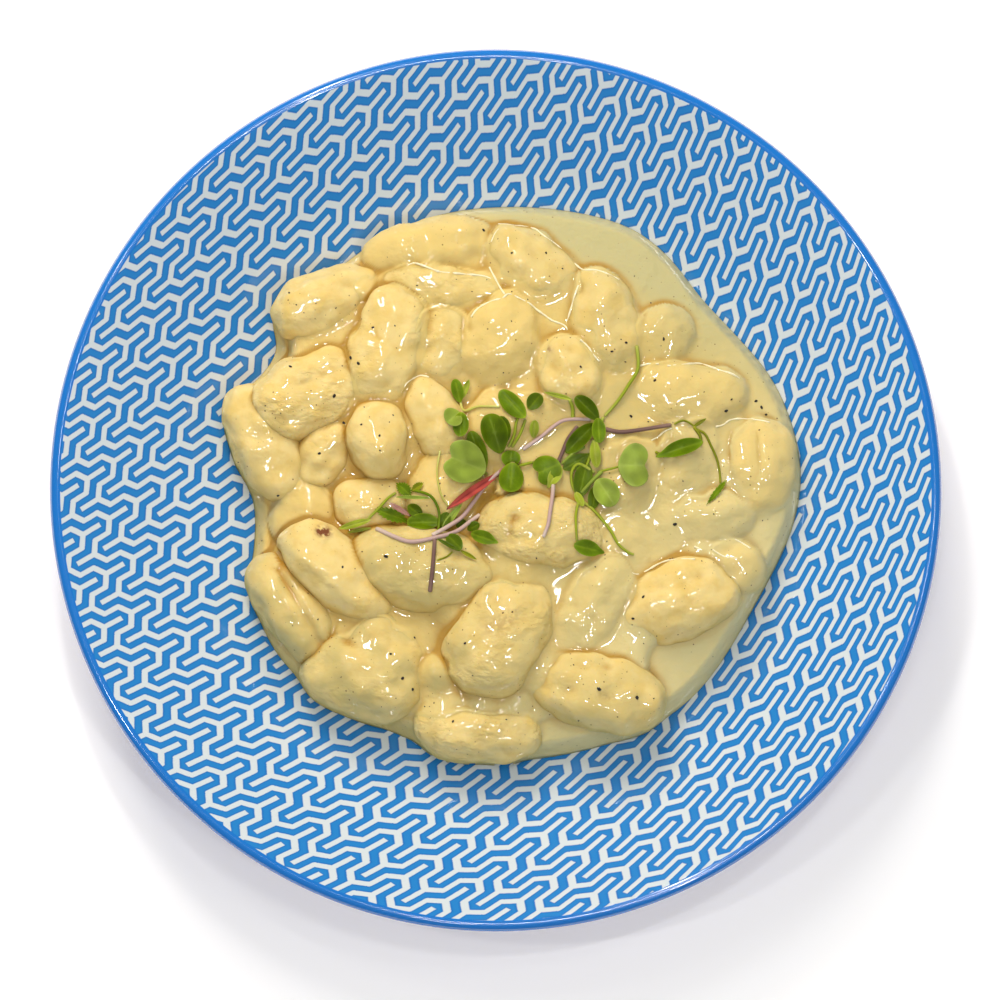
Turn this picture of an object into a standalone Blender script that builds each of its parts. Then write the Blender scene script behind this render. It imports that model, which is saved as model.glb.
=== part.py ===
"""Potato gnocchi in cream sauce, served in a coupe bowl with a sprinkle of microgreens.

The bowl is turned about +Z and stands on its foot ring at z = 0.  The cream sauce is one pool
that follows the bowl's floor, each gnocco is a pressed pillow sunk into it, and each sprig of
greens is a stem with its leaves that lies on the heap.
"""

from dataclasses import dataclass
from math import atan2, cos, hypot, pi, radians, sin, sqrt, tan

import bmesh
import bpy
from mathutils import Matrix, Vector
from mathutils.bvhtree import BVHTree

MM = 0.001
GAP = 0.3 * MM                      # air left between pieces that touch
SHARP_ANGLE = radians(50.0)
HOLLOW_GAP = 0.4 * MM               # air round a gnocco in the sauce, so that hollows merge
WELD = 0.01 * MM                    # points closer than this are one
SLIVER = 0.05 * MM                  # edges shorter than this are closed up

# Coupe bowl: a flat floor, a floor that bends upward, then a straight wall to a rolled rim.
RIM_RADIUS = 120.0 * MM
FLOOR_TOP = 7.2 * MM
FLOOR_RADIUS = 50.0 * MM
BEND_RADIUS = 91.0 * MM
WALL_ANGLE = radians(30.0)
WALL_THICKNESS = 3.8 * MM
FOOT_OUTER = 57.0 * MM
FOOT_INNER = 52.0 * MM
FOOT_CHAMFER = 1.0 * MM
BASE_UNDERSIDE = 2.4 * MM
BOWL_SIDES = 40
INSIDE_STEPS = 5
LIP_STEPS = 4
OUTSIDE_STEPS = 3

# Cream sauce: a pool whose outline swells towards one side, with two shallow rows of lobes.
POOL_RADIUS = 75.5 * MM
POOL_SWELL = 5.4 * MM
POOL_SWELL_HEADING = radians(53.0)
POOL_LOBES = ((5, 1.4 * MM, radians(8.0)), (7, 1.1 * MM, radians(7.0)))
POOL_TOP = 17.5 * MM
POOL_SHOULDER = 13.8 * MM
POOL_SIDES = 36
POOL_RINGS = 8
POOL_EDGE = 0.7 * MM                # thickness of its rounded edge
POOL_EDGE_POWER = 6                 # how late the top falls away to the edge
FILM = 1.3 * MM                     # sauce under the gnocchi

# Gnocchi
PILLOW_POWER = 2.35                 # 2 is an ellipsoid, more is plumper
GNOCCO_SIDES = 8
GNOCCO_RINGS = 6
CONTACT_REACH = 1.06                # neighbours closer than this share a pressed face
CONTACT_STEPS = 30                  # halvings that find the point where two skins meet

# Microgreens
STEM_RADIUS = 0.75 * MM
LEAF_THICKNESS = 1.0 * MM
STEM_SIDES = 4
LEAF_SIDES = 6
LEAF_RINGS = 4
SPRIG_CLEARANCE = 0.55 * MM
CREST_REACH = 3.5 * MM
STEM_SAG = 0.8 * MM
LEAF_DROOP = 2.5 * MM
SAG_REACH = 6.0 * MM                # how far around a touching point a limp sprig is lifted
LIFT_MARGIN = 1.05
LAYING_ROUNDS = 80
BRIDGING_ROUNDS = 3
CREST_SPOTS = 8


@dataclass
class Gnocco:
    """One potato dumpling: where its middle is, how big it is and how it lies (mm, degrees)."""

    x: float
    y: float
    lift: float
    length: float
    width: float
    height: float
    yaw: float
    tilt: float = 0.0
    taper: float = 0.0
    bend: float = 0.0


@dataclass
class Sprig:
    """One sprig: its stem's route and its leaves, each (stem point, tip x, tip y, width), in mm."""

    stem: list
    leaves: list


# From the far side of the heap round to the near side.
GNOCCHI = (
    Gnocco(-45, 51, 0.5, 33, 17, 16, 20, 2, -0.10),
    Gnocco(-17, 67, 0.0, 36, 16, 14, 8, 0, 0.08),
    Gnocco(11, 62, 0.8, 31, 18, 16, -35, -4),
    Gnocco(31, 46, 1.6, 30, 19, 17, -76, 3, 0.08),
    Gnocco(47, 43, 0.0, 16, 15, 12, 30),
    Gnocco(-14, 55, 3.6, 33, 14, 14, -8, 0, 0.0, 1.2),
    Gnocco(-14, 41, 4.4, 21, 15, 15, 84),
    Gnocco(-31, 40, 4.6, 33, 20, 17, 74, 3, 0.10),
    Gnocco(1, 42, 3.6, 26, 21, 17, 70),
    Gnocco(20, 33, 4.8, 22, 18, 16, -60),
    Gnocco(31, 27, 2.6, 15, 12, 12, -80),
    Gnocco(-52, 27, 3.0, 34, 22, 18, 28, 3, 0.06),
    Gnocco(-66, 13, 0.3, 35, 17, 16, -66, -2),
    Gnocco(-47, 11, 2.6, 21, 16, 15, 42),
    Gnocco(-32, 15, 6.4, 22, 18, 17, 100),
    Gnocco(-18, 22, 5.4, 27, 15, 16, -62, 4, 0.12),
    Gnocco(3, 19, 2.4, 31, 20, 16, 20),
    Gnocco(-14, 2, 4.4, 22, 16, 15, 60),
    Gnocco(-50, -4, 0.4, 20, 17, 15, 60),
    Gnocco(-35, -3, 2.6, 21, 15, 14, 5),
    Gnocco(51, 27, 2.2, 33, 17, 16, -4, 0, 0.0, -0.8),
    Gnocco(70, 7, 0.8, 28, 19, 15, 82, 0, 0.08),
    Gnocco(51, 9, 2.8, 24, 19, 16, 70),
    Gnocco(57, -6, 1.0, 25, 15, 14, 10),
    Gnocco(35, 5, 3.4, 27, 18, 16, 80),
    Gnocco(-46, -22, 4.4, 37, 19, 18, -42, 3, -0.06),
    Gnocco(-56, -32, 0.3, 34, 18, 17, -56, -2, -0.08),
    Gnocco(-21, -22, 6.0, 39, 23, 18, -16, 2, 0.06),
    Gnocco(-36, -48, 1.0, 35, 25, 18, -8, -3, 0.16),
    Gnocco(1, -39, 6.2, 35, 25, 20, 62, 3),
    Gnocco(12, -11, 6.6, 34, 21, 18, -4, 2, -0.05),
    Gnocco(26, -31, 1.8, 29, 17, 15, 57, 0, 0.10),
    Gnocco(49, -30, 4.2, 34, 22, 18, 21, 2, 0.05),
    Gnocco(28, -56, 2.8, 38, 22, 18, -17, 3, 0.05),
    Gnocco(-5, -65, 0.4, 35, 18, 16, -4, 0, -0.05),
    Gnocco(63, -18, 0.6, 24, 14, 13, -33),
    Gnocco(34, -13, 2.2, 24, 15, 14, -74),
)

SPRIGS = (
    Sprig([(-34, -9), (-27, -13), (-19, -14), (-10, -10), (-2, -1), (6, 8), (15, 16), (21, 19)],
          [(3, -4.5, -13.5, 7), (3, -11.5, -15.5, 7), (6, 25, 22.5, 6)]),
    Sprig([(22, 17), (18, 12), (16, 5), (15, -3), (13.5, -13.5)],
          [(0, 17.5, 24, 5), (1, 12.5, 5.5, 8), (2, 17.5, 3, 5)]),
    Sprig([(38, 38.5), (37.5, 32), (33, 25), (28, 20), (24, 13), (23, 4)],
          [(3, 23, 24.5, 8), (4, 31, 12, 5), (5, 21.5, -1, 7), (5, 32, 1, 9)]),
    Sprig([(47, 17), (38, 15.5), (30, 16), (27, 11), (31, 7)],
          [(2, 27, 22, 5), (4, 39, 10, 10), (4, 38, 3.5, 8)]),
    Sprig([(-11, 25), (-9, 18), (-7, 9), (1, 6), (8, 8), (12, 14)],
          [(0, -10.5, 30, 5), (1, -14, 20, 7), (2, -12, 4, 12), (4, 3, 17, 9), (5, 2.5, 26, 9),
           (3, 4, 1, 8)]),
    Sprig([(-40, -9), (-33, -6), (-27, -1), (-22, -2), (-20, -8)],
          [(1, -44, -11, 4), (2, -26, 4, 6), (3, -15, -1, 6), (4, -13, -11, 8)]),
    Sprig([(-12.5, -5), (-4, 2), (4, 7), (7, 8.5)], [(1, -13, -6.5, 4)]),
    Sprig([(-17, -28), (-16.5, -21), (-16, -16)], [(2, -10.5, -13, 5)]),
    Sprig([(22, -4), (21, -10), (21.5, -15)], [(2, 27.5, -17, 7)]),
    Sprig([(25, -5), (29, -9), (33, -14), (37, -17)], [(0, 30, 1, 5)]),
    Sprig([(49, 16), (55, 15), (58.5, 10), (60, 4), (57.5, -3)],
          [(1, 50, 20, 4), (1, 45, 7.5, 6)]),
)


def clear_scene():
    """Remove whatever the scene holds."""
    for item in list(bpy.data.objects):
        bpy.data.objects.remove(item, do_unlink=True)


def finish(name, colour, roughness):
    """A Principled material of one colour."""
    material = bpy.data.materials.new(name)
    material.use_nodes = True
    shader = material.node_tree.nodes["Principled BSDF"]
    shader.inputs["Base Color"].default_value = (*colour, 1.0)
    shader.inputs["Roughness"].default_value = roughness
    shader.inputs["Metallic"].default_value = 0.0
    material.diffuse_color = (*colour, 1.0)
    return material


def add_piece(name, body, material):
    """Turn a bmesh into a named object."""
    bmesh.ops.recalc_face_normals(body, faces=body.faces)
    mesh = bpy.data.meshes.new(name)
    body.to_mesh(mesh)
    body.free()
    mesh.shade_smooth()
    mesh.set_sharp_from_angle(angle=SHARP_ANGLE)
    mesh.materials.append(material)
    piece = bpy.data.objects.new(name, mesh)
    bpy.context.scene.collection.objects.link(piece)
    return piece


# ---------------------------------------------------------------- bowl

def floor_height(radius):
    """Height of the bowl's eating face at a distance from its axis."""
    bend = BEND_RADIUS - FLOOR_RADIUS
    into_bend = min(max(radius - FLOOR_RADIUS, 0.0), bend)
    up_wall = max(radius - BEND_RADIUS, 0.0)
    return FLOOR_TOP + tan(WALL_ANGLE) * (into_bend ** 2 / (2 * bend) + up_wall)


def floor_slope(radius):
    """How steeply the eating face rises at a distance from the axis: 0 on the flat floor."""
    bent = (radius - FLOOR_RADIUS) / (BEND_RADIUS - FLOOR_RADIUS)
    return tan(WALL_ANGLE) * min(max(bent, 0.0), 1.0)


def floor_lean(place):
    """The turn that lays a flat thing on the eating face at a place."""
    radius = hypot(place.x, place.y)
    slope = floor_slope(radius)
    facing = Vector((-slope * place.x, -slope * place.y, radius)) if slope else Vector((0, 0, 1))
    return Vector((0, 0, 1)).rotation_difference(facing).to_matrix()


def underside_height(radius):
    """Height of the bowl's outer face, one wall thickness below the eating face."""
    return floor_height(radius) - WALL_THICKNESS * sqrt(1 + floor_slope(radius) ** 2)


def bowl_profile():
    """Half section from the middle of the floor, over the rim, to the middle of the base."""
    bend = BEND_RADIUS - FLOOR_RADIUS
    foot_root = FOOT_OUTER + FOOT_CHAMFER
    inside = [FLOOR_RADIUS + bend * k / INSIDE_STEPS for k in range(INSIDE_STEPS + 1)]
    outside = [BEND_RADIUS + (foot_root - BEND_RADIUS) * k / OUTSIDE_STEPS
               for k in range(OUTSIDE_STEPS + 1)]
    lip_radius = WALL_THICKNESS / 2
    lip_middle = RIM_RADIUS - lip_radius
    lip_height = floor_height(lip_middle) - lip_radius / cos(WALL_ANGLE)
    inner_tangent = pi / 2 + WALL_ANGLE
    section = [(0.0, FLOOR_TOP)] + [(r, floor_height(r)) for r in inside]
    for k in range(LIP_STEPS + 1):
        turn = inner_tangent - pi * k / LIP_STEPS
        section.append((lip_middle + lip_radius * cos(turn), lip_height + lip_radius * sin(turn)))
    section += [(r, underside_height(r)) for r in outside]
    section += [(FOOT_OUTER, FOOT_CHAMFER), (FOOT_OUTER - FOOT_CHAMFER, 0.0), (FOOT_INNER, 0.0),
                (FOOT_INNER - FOOT_CHAMFER, BASE_UNDERSIDE), (0.0, BASE_UNDERSIDE)]
    return section


def turned(section, sides):
    """Spin a half section about +Z into a closed body."""
    body = bmesh.new()
    points = [body.verts.new((r, 0.0, z)) for r, z in section]
    edges = [body.edges.new(pair) for pair in zip(points, points[1:])]
    bmesh.ops.spin(body, geom=points + edges, cent=(0, 0, 0), axis=(0, 0, 1), angle=2 * pi,
                   steps=sides, use_merge=True)
    bmesh.ops.remove_doubles(body, verts=body.verts, dist=WELD)
    return body


def make_bowl():
    """The glazed coupe bowl."""
    return add_piece("bowl", turned(bowl_profile(), BOWL_SIDES),
                     finish("blue_printed_glaze", (0.075, 0.27, 0.66), 0.12))


# ---------------------------------------------------------------- gnocchi

class Pillow:
    """A gnocco in its place: its turn, its half sizes and the faces pressed by its neighbours."""

    def __init__(self, name, spec):
        self.name = name
        self.spec = spec
        self.half = Vector((spec.length, spec.width, spec.height)) * (MM / 2)
        self.middle = Vector((spec.x * MM, spec.y * MM, 0.0))
        self.turn = (floor_lean(self.middle)
                     @ Matrix.Rotation(radians(spec.yaw), 3, "Z")
                     @ Matrix.Rotation(radians(spec.tilt), 3, "Y"))
        self.faces = []
        self.middle.z = self.rest_height() + spec.lift * MM

    def body(self, grow=0.0):
        """The plump, slightly tapered and bent pillow, each side moved out by grow."""
        mesh = bmesh.new()
        bmesh.ops.create_uvsphere(mesh, u_segments=GNOCCO_SIDES, v_segments=GNOCCO_RINGS, radius=1.0)
        bmesh.ops.rotate(mesh, verts=mesh.verts, cent=(0, 0, 0),
                         matrix=Matrix.Rotation(pi / 2, 3, "Y"))
        half = self.half + Vector((grow, grow, grow))
        for vert in mesh.verts:
            reach = sum(abs(c) ** PILLOW_POWER for c in vert.co) ** (1 / PILLOW_POWER)
            along, side, up = vert.co / reach
            girth = 1 + self.spec.taper * along
            vert.co = (half.x * along,
                       half.y * side * girth + self.spec.bend * MM * (0.5 - along ** 2),
                       half.z * up * girth)
        bmesh.ops.rotate(mesh, verts=mesh.verts, cent=(0, 0, 0), matrix=self.turn)
        bmesh.ops.translate(mesh, verts=mesh.verts, vec=self.middle)
        for point, outward in self.faces:
            cut = bmesh.ops.bisect_plane(mesh, geom=mesh.verts[:] + mesh.edges[:] + mesh.faces[:],
                                         plane_co=point + outward * (grow - GAP / 2), plane_no=outward,
                                         clear_outer=True)
            rim = [e for e in cut["geom_cut"] if isinstance(e, bmesh.types.BMEdge)]
            if rim:
                bmesh.ops.contextual_create(mesh, geom=rim)
        bmesh.ops.dissolve_degenerate(mesh, dist=SLIVER, edges=mesh.edges)
        return mesh

    def rest_height(self):
        """Height of the middle at which the pillow just rests on the film over the bowl."""
        mesh = self.body()
        need = max(floor_height(hypot(v.co.x, v.co.y)) + GAP + FILM - v.co.z for v in mesh.verts)
        mesh.free()
        return need

    def reach(self, point):
        """0 at the middle, 1 on the skin, more outside."""
        local = self.turn.transposed() @ (point - self.middle)
        parts = [abs(c) / h for c, h in zip(local, self.half)]
        return sum(p ** PILLOW_POWER for p in parts) ** (1 / PILLOW_POWER)

    def outward(self, point):
        """The direction in which reach grows fastest."""
        step = SLIVER
        axes = (Vector((step, 0, 0)), Vector((0, step, 0)), Vector((0, 0, step)))
        return Vector([self.reach(point + a) - self.reach(point - a) for a in axes]) / (2 * step)


def press(first, second):
    """Give two touching pillows one flat face between them."""
    low, high = 0.0, 1.0
    for _ in range(CONTACT_STEPS):
        share = (low + high) / 2
        point = first.middle.lerp(second.middle, share)
        if first.reach(point) < second.reach(point):
            low = share
        else:
            high = share
    if first.reach(point) > CONTACT_REACH:
        return
    normal = (first.outward(point) - second.outward(point)).normalized()
    first.faces.append((point, normal))
    second.faces.append((point, -normal))


def make_gnocchi():
    """All the gnocchi, pressed against each other."""
    pillows = [Pillow(f"gnocco_{i:02d}", spec) for i, spec in enumerate(GNOCCHI, start=1)]
    for i, first in enumerate(pillows):
        for second in pillows[i + 1:]:
            press(first, second)
    dough = finish("potato_dough", (0.85, 0.62, 0.27), 0.35)
    pieces = [add_piece(p.name, p.body(), dough) for p in pillows]
    return pillows, pieces


# ---------------------------------------------------------------- sauce

def pool_radius(heading):
    """Distance from the axis to the pool's edge."""
    lobes = sum(size * cos(count * (heading - start)) for count, size, start in POOL_LOBES)
    return POOL_RADIUS + POOL_SWELL * cos(heading - POOL_SWELL_HEADING) + lobes


def pool_point(direction):
    """Where a point of the unit sphere lands on the pool: its upper half on top, its lower
    half on the bowl's floor."""
    share = hypot(direction.x, direction.y)
    heading = atan2(direction.y, direction.x)
    radius = share * pool_radius(heading)
    floor = floor_height(radius) + GAP
    place = Vector((radius * cos(heading), radius * sin(heading), floor))
    if direction.z > -WELD:
        level = POOL_TOP + (POOL_SHOULDER - POOL_TOP) * share ** 2
        depth = max(level - floor, POOL_EDGE)
        bulge = sqrt(max(1.0 - share ** POOL_EDGE_POWER, 0.0))
        place.z = floor + POOL_EDGE + (depth - POOL_EDGE) * bulge
    return place


def make_sauce(pillows):
    """The pool of cream sauce, with a hollow for every gnocco sunk in it."""
    body = bmesh.new()
    bmesh.ops.create_uvsphere(body, u_segments=POOL_SIDES, v_segments=POOL_RINGS, radius=1.0)
    for vert in body.verts:
        vert.co = pool_point(vert.co)
    sauce = add_piece("sauce", body, finish("cream_sauce", (0.80, 0.66, 0.36), 0.18))
    for pillow in pillows:
        cutter = add_piece(pillow.name + "_hollow", pillow.body(HOLLOW_GAP), sauce.data.materials[0])
        cutter.hide_render = True
        cutter.display_type = "WIRE"
        cut = sauce.modifiers.new(cutter.name, "BOOLEAN")
        cut.operation = "DIFFERENCE"
        cut.object = cutter
    return sauce


# ---------------------------------------------------------------- greens

class Heap:
    """What a sprig lies on: it knows the height of its top anywhere."""

    def __init__(self, pieces):
        self.body = bmesh.new()
        for piece in pieces:
            self.add(piece)

    def add(self, piece):
        """Let a piece count as part of the heap."""
        evaluated = piece.evaluated_get(bpy.context.evaluated_depsgraph_get())
        self.body.from_mesh(evaluated.to_mesh())
        self.tree = BVHTree.FromBMesh(self.body)

    def height(self, x, y):
        """Height of the highest thing under a point."""
        hit = self.tree.ray_cast(Vector((x, y, 2 * RIM_RADIUS)), Vector((0, 0, -1)))[0]
        return hit.z if hit is not None else floor_height(hypot(x, y))

    def crest(self, x, y):
        """Height of the highest thing near a point, which a stem bridges over to."""
        turns = [2 * pi * k / CREST_SPOTS for k in range(CREST_SPOTS)]
        around = [(x + CREST_REACH * cos(t), y + CREST_REACH * sin(t)) for t in turns]
        return max(self.height(*spot) for spot in around + [(x, y)])


def stem_body(route):
    """A round stem through the points of a route."""
    body = bmesh.new()
    ahead = (route[1] - route[0]).normalized()
    turn = ahead.to_track_quat("Z", "Y").to_matrix().to_4x4()
    ring = bmesh.ops.create_circle(body, cap_ends=True, segments=STEM_SIDES, radius=STEM_RADIUS,
                                   matrix=Matrix.Translation(route[0]) @ turn)
    face = ring["verts"][0].link_faces[0]
    for i in range(1, len(route)):
        grown = bmesh.ops.extrude_discrete_faces(body, faces=[face])
        face = grown["faces"][0]
        bmesh.ops.translate(body, verts=face.verts, vec=route[i] - route[i - 1])
        onward = (route[min(i + 1, len(route) - 1)] - route[i - 1]).normalized()
        bmesh.ops.rotate(body, verts=face.verts, cent=route[i],
                         matrix=ahead.rotation_difference(onward).to_matrix())
        ahead = onward
    bmesh.ops.contextual_create(body, geom=ring["verts"])
    return body


def leaf_body(base, tip, width):
    """A thin oval blade from the stem to its tip."""
    body = bmesh.new()
    bmesh.ops.create_uvsphere(body, u_segments=LEAF_SIDES, v_segments=LEAF_RINGS, radius=1.0)
    along = tip - base
    size = Matrix.Diagonal((width * MM / 2, LEAF_THICKNESS / 2, along.length / 2 + STEM_RADIUS, 1))
    turn = along.to_track_quat("Z", "Y").to_matrix().to_4x4()
    bmesh.ops.transform(body, verts=body.verts,
                        matrix=Matrix.Translation((base + tip) / 2) @ turn @ size)
    return body


def lay(parts, heap):
    """Lift the vertices of limp parts, a little at a time, until all clear what lies below."""
    verts = [vert for part in parts for vert in part.verts]
    for _ in range(LAYING_ROUNDS):
        short = [(heap.height(v.co.x, v.co.y) + SPRIG_CLEARANCE - v.co.z, v.co.copy())
                 for v in verts]
        worst, spot = max(short, key=lambda entry: entry[0])
        if worst <= 0.0:
            return
        for vert in verts:
            away = (vert.co.xy - spot.xy).length / SAG_REACH
            if away < 1.0:
                vert.co.z += worst * LIFT_MARGIN * (1 - away ** 2) ** 2


def bridge(joints):
    """Lift the joints that hang more than a sag below the line between their neighbours."""
    for _ in range(BRIDGING_ROUNDS):
        for before, here, after in zip(joints, joints[1:], joints[2:]):
            here.z = max(here.z, (before.z + after.z) / 2 - STEM_SAG)


def make_sprig(name, sprig, heap, material):
    """One sprig, laid on the heap and on the sprigs before it."""
    rise = STEM_RADIUS + SPRIG_CLEARANCE
    joints = [Vector((x * MM, y * MM, heap.crest(x * MM, y * MM) + rise)) for x, y in sprig.stem]
    bridge(joints)
    parts = [stem_body(joints)]
    for start, x, y, width in sprig.leaves:
        height = max(heap.crest(x * MM, y * MM) + rise, joints[start].z - LEAF_DROOP)
        parts.append(leaf_body(joints[start], Vector((x * MM, y * MM, height)), width))
    lay(parts, heap)
    stem = add_piece(name, parts[0], material)
    for i, part in enumerate(parts[1:], start=1):
        leaf = add_piece(f"{name}_leaf_{i}", part, material)
        leaf.hide_render = True
        leaf.display_type = "WIRE"
        join = stem.modifiers.new(leaf.name, "BOOLEAN")
        join.operation = "UNION"
        join.object = leaf
    bpy.context.view_layer.update()
    heap.add(stem)
    return stem


def main():
    clear_scene()
    make_bowl()
    pillows, gnocchi = make_gnocchi()
    sauce = make_sauce(pillows)
    bpy.context.view_layer.update()
    heap = Heap(gnocchi + [sauce])
    greens = finish("microgreens", (0.13, 0.32, 0.05), 0.45)
    for i, sprig in enumerate(SPRIGS, start=1):
        make_sprig(f"sprig_{i:02d}", sprig, heap, greens)


main()
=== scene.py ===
"""Looks of potato gnocchi in cream sauce, served in a printed coupe bowl with microgreens.

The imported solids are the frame.  Each gnocco, the sauce, each sprig and the bowl get a piece of
their own, built to the place and size that the frame gives, and pepper is strewn over the heap.
"""

import logging
from dataclasses import dataclass, field
from enum import Enum
from math import atan2, cos, exp, hypot, pi, radians, sin, sqrt, tan
from random import Random

import bmesh
import bpy
import numpy as np
from mathutils import Matrix, Vector, noise
from mathutils.bvhtree import BVHTree


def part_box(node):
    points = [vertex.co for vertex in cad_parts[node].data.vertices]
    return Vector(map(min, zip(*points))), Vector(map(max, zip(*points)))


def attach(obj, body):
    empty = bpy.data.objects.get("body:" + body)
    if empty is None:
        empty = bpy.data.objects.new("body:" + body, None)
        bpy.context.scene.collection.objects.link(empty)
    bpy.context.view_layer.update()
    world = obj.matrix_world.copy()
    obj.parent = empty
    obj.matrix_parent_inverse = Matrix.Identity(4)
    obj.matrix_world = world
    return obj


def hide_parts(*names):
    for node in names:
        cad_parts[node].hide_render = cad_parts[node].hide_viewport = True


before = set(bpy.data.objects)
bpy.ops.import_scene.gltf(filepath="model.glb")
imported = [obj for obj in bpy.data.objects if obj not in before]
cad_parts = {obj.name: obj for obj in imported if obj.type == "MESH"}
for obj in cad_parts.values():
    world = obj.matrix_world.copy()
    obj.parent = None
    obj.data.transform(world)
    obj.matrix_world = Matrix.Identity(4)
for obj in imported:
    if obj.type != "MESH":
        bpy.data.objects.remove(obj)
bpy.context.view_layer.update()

MM = 0.001
BODY = "root"
DOWN = Vector((0.0, 0.0, -1.0))
# The upward share of a surface's normal that counts as steep, and as level.
STEEP, LEVEL = 0.20, 0.55
WHITE = (1.0, 1.0, 1.0)
Colour = tuple[float, float, float]
Route = tuple[tuple[float, float], ...]

log = logging.getLogger("gnocchi")


# ------------------------------------------------------------------------------ shader maths


class Wire:
    """One output socket.  Arithmetic on wires and numbers adds Math nodes."""

    def __init__(self, graph: "Graph", socket: bpy.types.NodeSocket) -> None:
        """Hold a socket and the graph that it belongs to."""
        self.graph = graph
        self.socket = socket

    def maths(self, operation: str, *values: "Wire | float") -> "Wire":
        """Add a Math node.

        Args:
            operation: The Math node's operation.
            values: What goes in its sockets, in order.

        Returns:
            The node's value.
        """
        return self.graph.node("ShaderNodeMath", {"operation": operation}, dict(enumerate(values)))

    def __add__(self, other: "Wire | float") -> "Wire":
        """Sum."""
        return self.maths("ADD", self, other)

    __radd__ = __add__

    def __sub__(self, other: "Wire | float") -> "Wire":
        """Difference."""
        return self.maths("SUBTRACT", self, other)

    def __rsub__(self, other: float) -> "Wire":
        """Difference from a number."""
        return self.maths("SUBTRACT", other, self)

    def __mul__(self, other: "Wire | float") -> "Wire":
        """Product."""
        return self.maths("MULTIPLY", self, other)

    __rmul__ = __mul__

    def __abs__(self) -> "Wire":
        """Size without sign."""
        return self.maths("ABSOLUTE", self)

    def __gt__(self, other: float) -> "Wire":
        """1 where the value is greater, else 0."""
        return self.maths("GREATER_THAN", self, other)

    def fraction(self) -> "Wire":
        """What is left above the whole number below."""
        return self.maths("FRACT", self)

    def root(self) -> "Wire":
        """Square root."""
        return self.maths("SQRT", self)

    def least(self, other: "Wire | float") -> "Wire":
        """The smaller of two values."""
        return self.maths("MINIMUM", self, other)

    def most(self, other: "Wire | float") -> "Wire":
        """The larger of two values."""
        return self.maths("MAXIMUM", self, other)

    def ramp(self, low: float, high: float) -> "Wire":
        """Rise smoothly from 0 to 1, or fall where low is the larger.

        Args:
            low: The value that gives 0.
            high: The value that gives 1.

        Returns:
            The ramp's value.
        """
        if low > high:
            return 1.0 - self.ramp(high, low)
        settings = {"interpolation_type": "SMOOTHSTEP"}
        sockets = {"Value": self, "From Min": low, "From Max": high}
        return self.graph.node("ShaderNodeMapRange", settings, sockets)


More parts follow.
